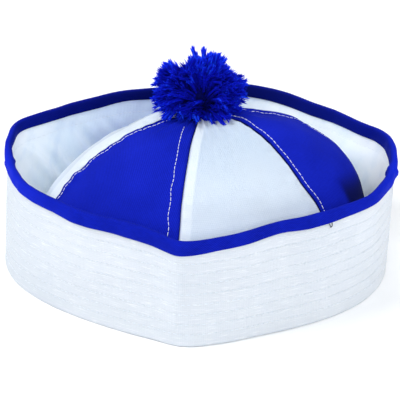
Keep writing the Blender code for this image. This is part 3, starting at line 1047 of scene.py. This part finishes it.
def tape_outline(azimuth):
    """The tape's closed outline: up its outside, over the rim, down its inside and back on its underside."""
    chance = np.random.default_rng(SEED + 1)
    azimuth = azimuth[None, :]
    top = cloth_top(azimuth)
    ring = around(azimuth, WAVE_RING, 0.0)
    hem_wave = 0.3 * ripples(ring, 30, chance)
    ride = 0.25 * ripples(ring, 45, chance)
    creases = 0.13 * ripples(ring, 7.0, chance) + 0.1 * ripples(ring, 15.0, chance)
    joint = stretches_at(azimuth, *TAPE_LAPS)
    outer_foot = top - TAPE_SKIRT + hem_wave - outer_hem(azimuth)
    inner_foot = top - TAPE_SKIRT + hem_wave - inner_hem(azimuth)
    crest = top + TAPE_GAP + TAPE_CLOTH + ride * 0.4
    shoulder = crest - TAPE_ROUNDING

    def wall(height):
        share = (np.minimum(height, top) - FOLD_RISE) / (top - FOLD_RISE)
        return wall_radius(azimuth, share)

    levels, thickness = np.array(TAPE_LEVELS).T[:, :, None]
    outer_height = outer_foot + (shoulder - outer_foot) * levels
    inner_height = inner_foot + (shoulder - inner_foot) * levels
    roll = 0.28 * np.sin(math.pi * levels / 0.9) + 0.02
    thick = TAPE_CLOTH * thickness + creases * np.sin(math.pi * levels) + roll
    thick = thick + joint * np.sin(math.pi * np.clip(levels, 0.1, 0.9))
    outer = wall(outer_height) + TAPE_GAP + thick
    inner = wall(inner_height) - BRIM_CLOTH - TAPE_GAP - thick
    turns = np.radians(np.linspace(0, 180, 11)[1:-1])[:, None]
    over = (outer[-1] + inner[-1]) / 2 + (outer[-1] - inner[-1]) / 2 * np.cos(turns)
    over_height = outer_height[-1] + (crest - outer_height[-1]) * np.sin(turns)
    under = np.array((0.0, 0.5, 1.0))[:, None]
    inner_under = inner_foot + (top + TAPE_GAP - inner_foot) * under
    outer_under = outer_foot + (top + TAPE_GAP - outer_foot) * under
    return stacked((
        (outer, outer_height),
        (over, over_height),
        (inner[::-1], inner_height[::-1]),
        (wall(inner_under) - BRIM_CLOTH - TAPE_GAP, inner_under),
        (wall(outer_under[::-1]) + TAPE_GAP, outer_under[::-1]),
    ))


def tape(finish):
    """The tape. Its second map holds its painted shade towards the crown, and the painted light that
    brightens it at the cap's ends.
    """
    azimuth = np.linspace(0, 360, BRIM_COLUMNS, endpoint=False)
    radii, heights = tape_outline(azimuth)
    faces, mapped = ring_faces(len(radii), BRIM_COLUMNS)
    points = around(azimuth, radii, heights)
    walked = np.pad(run_along(points, 0), ((0, 1), (0, 0)))
    walked = np.pad(walked, ((0, 0), (0, 1)), mode="wrap")
    lap = np.broadcast_to(np.linspace(0, LAP, BRIM_COLUMNS + 1), walked.shape)
    place = np.stack((lap, walked), axis=-1).reshape(-1, 2)
    level = np.arange(len(walked))[:, None]
    lit, shady = TAPE_SHADE_LEVELS
    back = np.clip((level - lit) / (shady - lit), 0, 1) * np.ones_like(lap)
    turn = np.append(azimuth, 360)
    # Painted shade on the inner side, most at the back, and painted light at the cap's ends
    shaded = back * (0.35 + stretches_at(turn, TAPE_SHADE))
    ends = np.clip(stretches_at(turn, *TAPE_PAINTED_LIGHT_ENDS) * (1 - 0.5 * back), 0, 1)
    edges = np.stack((shaded, ends), axis=-1).reshape(-1, 2)
    piece = draw("rim_tape", points.reshape(-1, 3), faces, finish, place[mapped], edges[mapped])
    return fit_out(piece, "blue_tape", "brim_binding")


def loose_thread(finish):
    """A loop of the tape's sewing thread that hangs from its hem."""
    share = np.linspace(0, 1, 33)
    hang = np.sqrt(np.sin(math.pi * share))
    azimuth = LOOSE_THREAD_TURN + LOOSE_THREAD_GAP * share + 0.12 * np.sin(3 * math.pi * share)
    hem = cloth_top(azimuth) - TAPE_SKIRT - outer_hem(azimuth)
    level = (hem - FOLD_RISE) / (cloth_top(azimuth) - FOLD_RISE)
    height = hem + 0.5 - LOOSE_THREAD_DROP * hang
    line = around(azimuth, wall_radius(azimuth, level) + 0.5 + 0.6 * hang, height)
    radii = np.full((1, len(share)), LOOSE_THREAD_RADIUS)
    piece = draw_tubes("tape_thread", line[None], radii, 6, finish, np.array((0.5,)))
    return fit_out(piece, "blue_tape")


def brim_stitches(finish):
    """Rows of stitches through the brim. One of them shows on its inner face too."""
    chance = np.random.default_rng(SEED + 2)
    count = int(LAP / QUILT_STITCH_PITCH)
    rows = []
    for row in QUILT_ROWS:
        share = row / QUILT_STEPS
        start = (np.arange(count) + chance.uniform(0, 1)) * 360 / count
        end = start + 360 / count * QUILT_STITCH_LENGTH / QUILT_STITCH_PITCH
        faces = [(1, quilting(start, share))]
        if row == INNER_ROW:
            faces.append((-1, -BRIM_CLOTH - inner_pull(start, share)))
        for side, inset in faces:
            starts = around(start, wall_radius(start, share) + inset, wall_height(start, share))
            ends = around(end, wall_radius(end, share) + inset, wall_height(end, share))
            outward = side * around(start, 1.0, 0.0)
            rows.append(stitch_lines(starts, ends, outward, QUILT_STITCH_RADIUS))
    return sewn("brim_stitches", rows, finish, chance)


# ---------------------------------------------------------------- the crown


def topstitch(seam, rise):
    """How far a seam's row of stitches lies from it at a rise in degrees, in mm."""
    return seam.stitch_foot + (seam.stitch_top - seam.stitch_foot) * smooth(46, 56, rise)


def seam_relief(distance, climb, rise, seam, stitched, width, chance):
    """How far the cloth beside a seam stands out or in, in mm, at distances from it and climbs up the panel.
    This fades out where the panel is too narrow."""
    if stitched:
        line = topstitch(seam, rise)
        allowance, ridge, slope = line, seam.ridge, seam.slope
        dip = STITCH_DIP * bell(distance - line, STITCH_DIP_WIDTH)
    else:
        line = WHITE_PULL
        allowance, ridge, slope = WHITE_ALLOWANCE, WHITE_RIDGE * (seam.doubled > 0), WHITE_SLOPE
        dip = 0.0
    edge = allowance + 0.55
    doubling = smooth(0.3, 1.1, distance) * (1 - smooth(edge - slope / 2, edge + slope / 2, distance))
    relief = ridge * doubling - dip - SEAM_DEPTH * bell(distance, SEAM_ROUNDING)
    along = np.stack((climb, 0.35 * distance), axis=-1)
    pull = ripples(along, 8.5, chance) + 0.6 * ripples(along, 5.0, chance)
    relief = relief + seam.pucker * pull * bell(distance - line, PUCKER_REACH) * smooth(0.0, 0.8, distance)
    return relief * smooth(3.0, 14.0, width)


def crown_ease(azimuth, rise):
    """How far the sewn crown stands out from its even form at a rise in degrees, in mm."""
    return sum(
        ease.out * bell(off_turn(azimuth, ease.turn), ease.across) * bell(rise - ease.rise, ease.up)
        for ease in CROWN_EASE
    )


def seam_drift(azimuth, rise):
    """How far the crown's cloth is turned anticlockwise round it, in degrees."""
    total = 0.0
    for drift in SEAM_DRIFTS:
        below = 1 - smooth(drift.low, drift.high, rise)
        total = total + drift.aside * bell(off_turn(azimuth, drift.turn), drift.across) * below
    return total


def swung(points, degrees):
    """The points turned round the cap."""
    cosine, sine = np.cos(np.radians(degrees)), np.sin(np.radians(degrees))
    x, y, z = np.moveaxis(points, -1, 0)
    return np.stack((x * cosine - y * sine, x * sine + y * cosine, z), axis=-1)


def crease(distance, seam):
    """How dark the painted shade in the crease beside a seam is, from 0 to 1."""
    return 1 - smooth(0.6 * seam.crease, 1.1 * seam.crease, distance)


def doubled(distance, seam):
    """Where the turned-in allowance doubles the white cloth, from 0 to 1."""
    before_its_end = 1 - smooth(seam.doubled - 0.5, seam.doubled + 0.9, distance)
    return (seam.doubled > 0) * smooth(0.3, 0.9, distance) * before_its_end


def gap_shade(azimuth, rise):
    """How much painted shade darkens the cloth deep between the crown and the brim at the right, from 0 to
    1:
    between azimuths of -25 and 18 degrees, below a line that falls anticlockwise."""
    turn = off_turn(azimuth, 0)
    sides = smooth(-27.5, -23.5, turn) * (1 - smooth(12, 24, turn))
    return 0.93 * sides * (1 - smooth(28, 36, rise + 0.22 * (turn + 15)))


def edge_of_grid(rows, columns):
    """The points round the edge of a grid, in order."""
    bottom = np.arange(columns)
    right = np.arange(1, rows) * columns + columns - 1
    top = (rows - 1) * columns + np.arange(columns - 2, -1, -1)
    left = np.arange(rows - 2, 0, -1) * columns
    return np.concatenate((bottom, right, top, left))


def sheet_faces(rows, columns):
    """Faces of a sheet with two sides: its outer points' grid, the inner ones' after it, and its edge."""
    outer = grid_faces(rows, columns)
    count = rows * columns
    edge = edge_of_grid(rows, columns)
    following = np.roll(edge, -1)
    joined = np.stack((edge + count, following + count, following, edge), axis=-1)
    return np.concatenate((outer, outer[:, ::-1] + count, joined))


def soft_folds(form, across, rise, even, from_start, from_end, climb, chance):
    """How far a panel's cloth stands out or in, in mm: its slack, its gathers near the apex and the ripples
    along its foot."""
    slack = smooth(0, 9, np.minimum(from_start, from_end)) * smooth(0, 14, climb)
    folds = slack * (0.55 * ripples(even, 46, chance) + 0.2 * ripples(even, 17, chance))
    gathers = np.sin(np.radians(form.span[0] + across * 60) * 26 + 3 * across)
    foot = ripples(np.stack((from_start, 0.2 * climb), axis=-1), 11, chance)
    near_foot = (1 - smooth(3, 16, climb)) * smooth(0, 4, climb)
    return folds + 0.5 * gathers * smooth(62, 80, rise) + 0.3 * foot * near_foot


# The grid of a panel's outer face: its points, their outward directions, their distances in mm from the
# seams before and after it, and their rises in degrees
PanelShape = namedtuple("PanelShape", "points outward from_start from_end rise")


def crown_panel(name, form, finish, before, after, chance):
    """One panel between two seams: its outer face with seams, puckers and soft folds, its inner face and its
    edges. Its second map holds the distance to its nearer seam, and on a blue panel the painted shade of its
    creases and of the gap by the brim, on a white one the doubled cloth there."""
    step = np.linspace(0, 1, PANEL_COLUMNS + 1)
    across = step - EDGE_CROWDING * np.sin(2 * math.pi * step) / (2 * math.pi)
    across, rise = np.meshgrid(across, np.linspace(0, TOP_RISE, PANEL_ROWS + 1))
    turn = form.span[0] + (form.span[1] - form.span[0]) * across
    even = swung(form.point(across, rise), seam_drift(turn, rise))
    even = even + grid_normals(even) * crown_ease(turn, rise)[..., None]
    outward = grid_normals(even)
    from_start = run_along(even, 1)
    width = from_start[:, -1:]
    from_end = width - from_start
    climb = run_along(even, 0)
    blue = name in BLUE_PANELS
    relief = seam_relief(from_start, climb, rise, before, blue, width, chance)
    relief = relief + seam_relief(from_end, climb, rise, after, blue, width, chance)
    relief = relief + soft_folds(form, across, rise, even, from_start, from_end, climb, chance)
    outer = even + outward * relief[..., None]
    inner = even + outward * (0.6 * relief - CROWN_CLOTH)[..., None]
    if blue:
        # Painted shade in the creases beside the seams and deep by the brim
        beside = np.maximum(crease(from_start, before), crease(from_end, after))
        beside = np.maximum(beside, gap_shade(turn, rise))
    else:
        beside = np.maximum(doubled(from_start, before), doubled(from_end, after))
    place = np.tile(np.stack((from_start - width / 2, climb), axis=-1).reshape(-1, 2), (2, 1))
    edges = np.tile(np.stack((np.minimum(from_start, from_end), beside), axis=-1).reshape(-1, 2), (2, 1))
    points = np.concatenate((outer.reshape(-1, 3), inner.reshape(-1, 3)))
    faces = sheet_faces(*across.shape)
    piece = draw(name + "_cloth", points, faces, finish, place[faces], edges[faces])
    fit_out(piece, "blue_cloth" if blue else "white_cloth", name)
    return PanelShape(outer, grid_normals(outer), from_start, from_end, rise)


def topstitching(shape, seam, at_start, chance):
    """A row of stitches up a panel, beside the seam at its start or the one at its end."""
    if at_start:
        points, outward, distance = shape.points, shape.outward, shape.from_start
    else:
        points, outward, distance = shape.points[:, ::-1], shape.outward[:, ::-1], shape.from_end[:, ::-1]
    rows = np.flatnonzero(shape.rise[:, 0] < STITCHED_RISE)
    wander = topstitch(seam, shape.rise[rows, 0]) + 0.22 * ripples(rows[:, None] * 1.0, 9, chance)

    def beside(values):
        """Values of the panel's grid where its rows are that far from the seam."""
        return np.array([
            [np.interp(aside, distance[row], values[row, :, axis]) for axis in range(3)]
            for row, aside in zip(rows, wander)
        ])

    starts, ends, lifts = stitches_on(beside(points), beside(outward), STITCH_PITCH, STITCH_LENGTH)
    return stitch_lines(starts, ends, lifts, STITCH_RADIUS)


def crown(white, blue, thread_finish):
    """The six panels, and the topstitching beside both seams of each blue one."""
    chance = np.random.default_rng(SEED + 3)
    spans = panel_spans()
    rows = []
    for number, after in enumerate(SEAMS):
        before = SEAMS[number - 1]
        name = after.before
        form = PanelForm(name, spans[name])
        finish = blue if name in BLUE_PANELS else white
        shape = crown_panel(name, form, finish, before, after, chance)
        if name in BLUE_PANELS:
            rows.append(topstitching(shape, before, True, chance))
            rows.append(topstitching(shape, after, False, chance))
    return sewn("crown_stitches", rows, thread_finish, chance)


# ---------------------------------------------------------------- the pompom


def crown_heights(points):
    """The height of the crown under each point, in mm."""
    corners = []
    polygons = []
    for seam in SEAMS:
        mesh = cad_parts[seam.before].data
        first = len(corners)
        corners += [vertex.co.copy() for vertex in mesh.vertices]
        polygons += [tuple(first + corner for corner in face.vertices) for face in mesh.polygons]
    tree = BVHTree.FromPolygons(corners, polygons)
    heights = []
    for x, y, _ in points * MM:
        hit = tree.ray_cast(Vector((x, y, RAY_HEIGHT * MM)), Vector((0, 0, -1)))[0]
        heights.append(hit.z / MM if hit is not None else APEX_HEIGHT)
    return np.array(heights)


def pompom_reach(turn):
    """How far the pompom reaches at each turn round its middle, in mm, as the front view shows it."""
    turns = [lobe.turn for lobe in POMPOM_LOBES]
    reaches = [lobe.reach for lobe in POMPOM_LOBES]
    return np.interp(np.mod(np.degrees(turn), 360), turns, reaches, period=360)


def pompom_tips(direction):
    """Where directions from the pompom's middle meet its outside. They are given as right, up and towards
    the front view, and the points in mm."""
    across = np.hypot(direction[:, 0], direction[:, 1])
    reach = pompom_reach(np.arctan2(direction[:, 1], direction[:, 0]))
    radius = 1 / np.sqrt((across / reach) ** 2 + (direction[:, 2] / POMPOM_DEPTH) ** 2)
    return np.array(POMPOM_MIDDLE) + (direction @ FRONT_VIEW) * radius[:, None]


def even_directions(count):
    """Directions spread evenly all round by the golden angle."""
    number = np.arange(count)
    lift = 1 - 2 * (number + 0.5) / count
    flat = np.sqrt(1 - lift * lift)
    turn = number * math.pi * (3 - math.sqrt(5))
    return np.stack((flat * np.cos(turn), flat * np.sin(turn), lift), axis=-1)


def parting(spread):
    """How far from the view, in degrees, tufts start, by how far they lean to either side."""
    return PARTING - (PARTING - SIDE_PARTING) * smooth(0.15, 0.65, np.abs(spread))


def pompom_tufts(chance):
    """The tufts' directions and lengths, and which of them stand out at the edge. None runs down into the
    crown, and they part in front of the tie."""
    tufts = even_directions(TUFTS)
    tufts = unit(tufts + chance.normal(size=tufts.shape) * 0.07)
    ends = pompom_tips(tufts)
    seen = unit(ends - np.array(POMPOM_TIE)) @ FRONT_VIEW.T
    above = ends[:, 2] > crown_heights(ends) - 3.0
    tufts = tufts[above & (np.degrees(np.arccos(seen[:, 2])) > parting(seen[:, 0]))]
    edge_turns = np.radians([tuft.turn for tuft in EDGE_TUFTS])
    drape = 0.6 * bell(np.degrees(edge_turns) - 305, 25)
    nearer = drape + chance.normal(size=len(edge_turns)) * 0.12
    edge_tufts = np.stack((np.cos(edge_turns), np.sin(edge_turns), nearer), axis=-1)
    edge_length = np.array([tuft.reach for tuft in EDGE_TUFTS]) / pompom_reach(edge_turns)
    length = np.concatenate((1 + chance.uniform(-0.09, 0.03, len(tufts)), edge_length))
    edge = np.arange(len(length)) >= len(tufts)
    return np.concatenate((tufts, unit(edge_tufts))), length, edge


def pompom_lines(chance):
    """The yarns of the pompom, which leave its tie upwards and curl over to the outside: their lines, their
    tufts' tones, their directions and whether they stand out at the edge."""
    tie = np.array(POMPOM_TIE)
    tufts, tuft_length, edge = pompom_tufts(chance)
    count = len(tufts)
    tuft_curl = chance.normal(size=(count, 3)) * np.where(edge, 0.3, 0.9)[:, None]
    tuft_bow = chance.normal(size=(count, 3)) * np.where(edge, 1.0, 2.4)[:, None]
    tuft_wave = chance.normal(size=(count, 3)) * 0.7
    spread = np.where(edge, EDGE_TUFT_SPREAD, TUFT_SPREAD)
    owner = np.repeat(np.arange(count), np.where(edge, YARNS_PER_EDGE_TUFT, YARNS_PER_TUFT))
    yarns = len(owner)
    direction = unit(tufts[owner] + chance.normal(size=(yarns, 3)) * spread[owner][:, None])
    tips = pompom_tips(direction)
    length = tuft_length[owner] * (0.97 + chance.normal(size=yarns) * 0.035)
    roots = tie + chance.normal(size=(yarns, 3)) * np.array((2.2, 1.6, 0.6))
    middle = np.array(POMPOM_MIDDLE)
    tips = middle + (tips - middle) * length[:, None] + tuft_curl[owner]
    run = np.linalg.norm(tips - roots, axis=1, keepdims=True)
    lift = 0.45 + 0.7 * smooth(0.0, 14.0, tie[2] + 10.0 - tips[:, 2:])
    leave = unit(unit(tips - roots) + lift * np.array((0, 0, 1.0)) + chance.normal(size=(yarns, 3)) * 0.08)
    outward = unit(direction @ FRONT_VIEW + np.array((0, 0, -0.2)))
    first = roots + leave * run * 0.42
    second = tips - outward * run * 0.32 + tuft_bow[owner]
    share = np.linspace(0, 1, len(YARN_WIDTHS))[:, None]
    lines = (
        (1 - share) ** 3 * roots[:, None]
        + 3 * (1 - share) ** 2 * share * first[:, None]
        + 3 * (1 - share) * share**2 * second[:, None]
        + share**3 * tips[:, None]
    )
    phase = chance.uniform(0, 2 * math.pi, (yarns, 1, 1))
    sway = tuft_wave[owner][:, None] + chance.normal(size=(yarns, 1, 3)) * 0.35
    lines = lines + sway * np.sin(share * 9.0 + phase) * smooth(0, 0.3, share)
    tone = chance.normal(size=count)[owner]
    return lines, tone, direction, edge[owner]


def clear_of_crown(lines):
    """The strands lifted where they would run into the crown."""
    points = lines.reshape(-1, 3).copy()
    low = points[:, 2] < ABOVE_CROWN
    floor = crown_heights(points[low]) + STRAND_CLEARANCE
    points[low, 2] = np.maximum(points[low, 2], floor)
    return points.reshape(lines.shape)


def pompom(yarn_finish, end_finish, shaded_core_finish):
    """The pompom's yarns, their frayed ends, its core and its fuzz. Yarns are brightest at its edge and top
    with painted light and darkest at its sides with painted shade, and the core is painted dark as shade."""
    chance = np.random.default_rng(POMPOM_SEED)
    lines, tuft_tone, direction, edge = pompom_lines(chance)
    lines = clear_of_crown(lines)
    thickness = YARN_RADIUS * chance.uniform(0.8, 1.2, len(lines)) * np.where(edge, 0.75, 1.0)
    radii = thickness[:, None] * np.array(YARN_WIDTHS)
    at_edge = smooth(0.85, 1.0, np.hypot(direction[:, 0], direction[:, 1]))
    to_side = smooth(0.2, 0.5, np.abs(direction[:, 0])) * (1 - at_edge)
    to_top = smooth(0.3, 0.95, direction[:, 1])
    # Painted light at the pompom's top and edge and painted shade at its sides
    tones = 0.42 + 0.28 * chance.normal(size=len(lines)) + 0.2 * tuft_tone
    tones = tones + 0.6 * to_top + 0.3 * at_edge - 0.3 * to_side
    tones = np.clip(tones, 0, 0.7 + 0.3 * np.maximum(at_edge, to_top))
    front = (direction @ FRONT_VIEW)[:, 1] < 0
    for half, chosen in (("front", front), ("back", ~front)):
        yarns, shades = lines[chosen], tones[chosen]
        piece = draw_tubes("pompom_yarn_" + half, yarns, radii[chosen], 6, yarn_finish, shades)
        fit_out(piece, "blue_yarn", "pompom")
        ends, end_radii, end_shades = frayed_ends(yarns, thickness[chosen], shades, chance)
        piece = draw_tubes("pompom_ends_" + half, ends, end_radii, 4, end_finish, end_shades)
        fit_out(piece, "blue_yarn")
    pompom_core(shaded_core_finish, chance)
    pompom_fuzz(end_finish, lines, chance)


def frayed_ends(lines, thickness, tones, chance):
    """Each yarn's cut end, untwisted into finer strands: their lines, radii and tones."""
    count = len(lines) * FRAYS
    yarn = np.repeat(np.arange(len(lines)), FRAYS)
    root, tip = lines[yarn, FRAYS_FROM], lines[yarn, -1]
    ahead = unit(tip - root)
    aside = chance.normal(size=(count, 3))
    aside = aside - ahead * np.sum(aside * ahead, axis=1, keepdims=True)
    start = (root + aside * thickness[yarn][:, None] * 0.3)[:, None]
    middle = (tip + aside * thickness[yarn][:, None] * 0.6)[:, None]
    end = middle + (unit(ahead + aside * 0.25) * chance.uniform(0.3, 1.9, (count, 1)))[:, None]
    share = np.array((0.0, 0.4, 0.75, 1.0))[:, None]
    frayed = (1 - share) ** 2 * start + 2 * share * (1 - share) * middle + share**2 * end
    radii = FRAY_RADIUS * chance.uniform(0.7, 1.2, (count, 1)) * np.array((1.0, 1.0, 0.8, 0.25))
    return clear_of_crown(frayed), radii, np.clip(tones[yarn] + 0.15 * chance.normal(size=count), 0, 1)


def pompom_core(finish, chance):
    """A lumpy middle, behind the strands, painted dark as the shade there."""
    rows, columns = 28, 48
    turn = np.linspace(0, 360, columns, endpoint=False)[None, :]
    lift = np.linspace(-math.pi / 2 + 0.05, math.pi / 2 - 0.05, rows)[:, None]
    ball = around(turn, np.cos(lift), np.sin(lift))
    size = np.where(ball[..., 2:] > 0, np.array(CORE_ABOVE), np.array(CORE_BELOW))
    lumps = 1 + 0.1 * ripples(ball * 20, 14, chance)
    points = ball * size * lumps[..., None] + np.array(POMPOM_MIDDLE) + np.array(CORE_SHIFT)
    points = clear_of_crown(points)
    faces = grid_faces(rows, columns + 1)
    faces = faces // (columns + 1) * columns + faces % (columns + 1) % columns
    piece = draw("pompom_core", points.reshape(-1, 3), faces, finish)
    return fit_out(piece, "blue_yarn", "pompom")


def pompom_fuzz(finish, lines, chance):
    """Single fibres that stand off the strands near their ends."""
    strand = chance.integers(0, len(lines), FIBRES)
    ring = chance.integers(3, len(YARN_WIDTHS), FIBRES)
    start = lines[strand, ring]
    away = unit(start - lines[strand, ring - 1] + chance.normal(size=(FIBRES, 3)) * 2.0)
    length = chance.uniform(0.8, 2.4, (FIBRES, 1))
    share = np.array((0.0, 0.5, 1.0))[:, None]
    bow = unit(chance.normal(size=(FIBRES, 3))) * 0.25 * length
    fibre = start[:, None] + (away * length)[:, None] * share + bow[:, None] * (share * (1 - share) * 4)
    radii = np.broadcast_to(np.array(FIBRE_RADII), fibre.shape[:2])
    tones = chance.uniform(0.3, 1, FIBRES)
    piece = draw_tubes("pompom_fuzz", clear_of_crown(fibre), radii, 4, finish, tones)
    return fit_out(piece, "blue_yarn")


# ---------------------------------------------------------------- the studio


def studio():
    """A soft pale sky, the lamps and a pale floor."""
    scene = bpy.context.scene
    scene.view_settings.view_transform = "Standard"
    world = bpy.data.worlds.new("soft_studio")
    scene.world = world
    world.use_nodes = True
    sky = world.node_tree.nodes["Background"]
    sky.inputs["Color"].default_value = (*SKY, 1.0)
    sky.inputs["Strength"].default_value = SKY_STRENGTH
    for lamp in LAMPS:
        light = bpy.data.lights.new(lamp.name, "AREA")
        light.shape = "DISK"
        light.size = lamp.width * MM
        light.energy = lamp.power
        stand(lamp.name, light, Vector(lamp.place), Vector(LAMP_AIM))
    corners = np.array(((-1, -1, 0), (1, -1, 0), (1, 1, 0), (-1, 1, 0))) * FLOOR_REACH
    draw("floor", corners, np.array(((0, 1, 2, 3),)), pale_floor())


def stand(name, data, place, aim):
    """A lamp or camera at a place, turned towards the point it is aimed at, both in mm."""
    holder = bpy.data.objects.new(name, data)
    holder.location = place * MM
    holder.rotation_euler = (aim - place).to_track_quat("-Z", "Y").to_euler()
    bpy.context.scene.collection.objects.link(holder)
    return holder


def camera():
    """The photo's view."""
    data = bpy.data.cameras.new("view")
    data.lens = VIEW_LENS
    data.sensor_width = VIEW_SENSOR
    data.clip_end = VIEW_REACH * MM
    back = Vector((0, -math.cos(VIEW_LIFT), math.sin(VIEW_LIFT))) * VIEW_DISTANCE
    aim = Vector(VIEW_AIM)
    bpy.context.scene.camera = stand("view", data, aim + back, aim)


def build():
    brim(white_cloth("white_quilting", True))
    brim_stitches(thread("quilting_thread", QUILTING_THREAD))
    tape(blue_tape())
    loose_thread(thread("tape_thread", TAPE_THREAD))
    crown(white_cloth("white_crown_cloth", False), blue_cloth(), thread("white_thread", SEAM_THREAD))
    pompom(yarn("blue_yarn", YARN, 0.3), yarn("yarn_ends", YARN_ENDS, 0.25), shaded_yarn_core())
    studio()
    camera()


build()
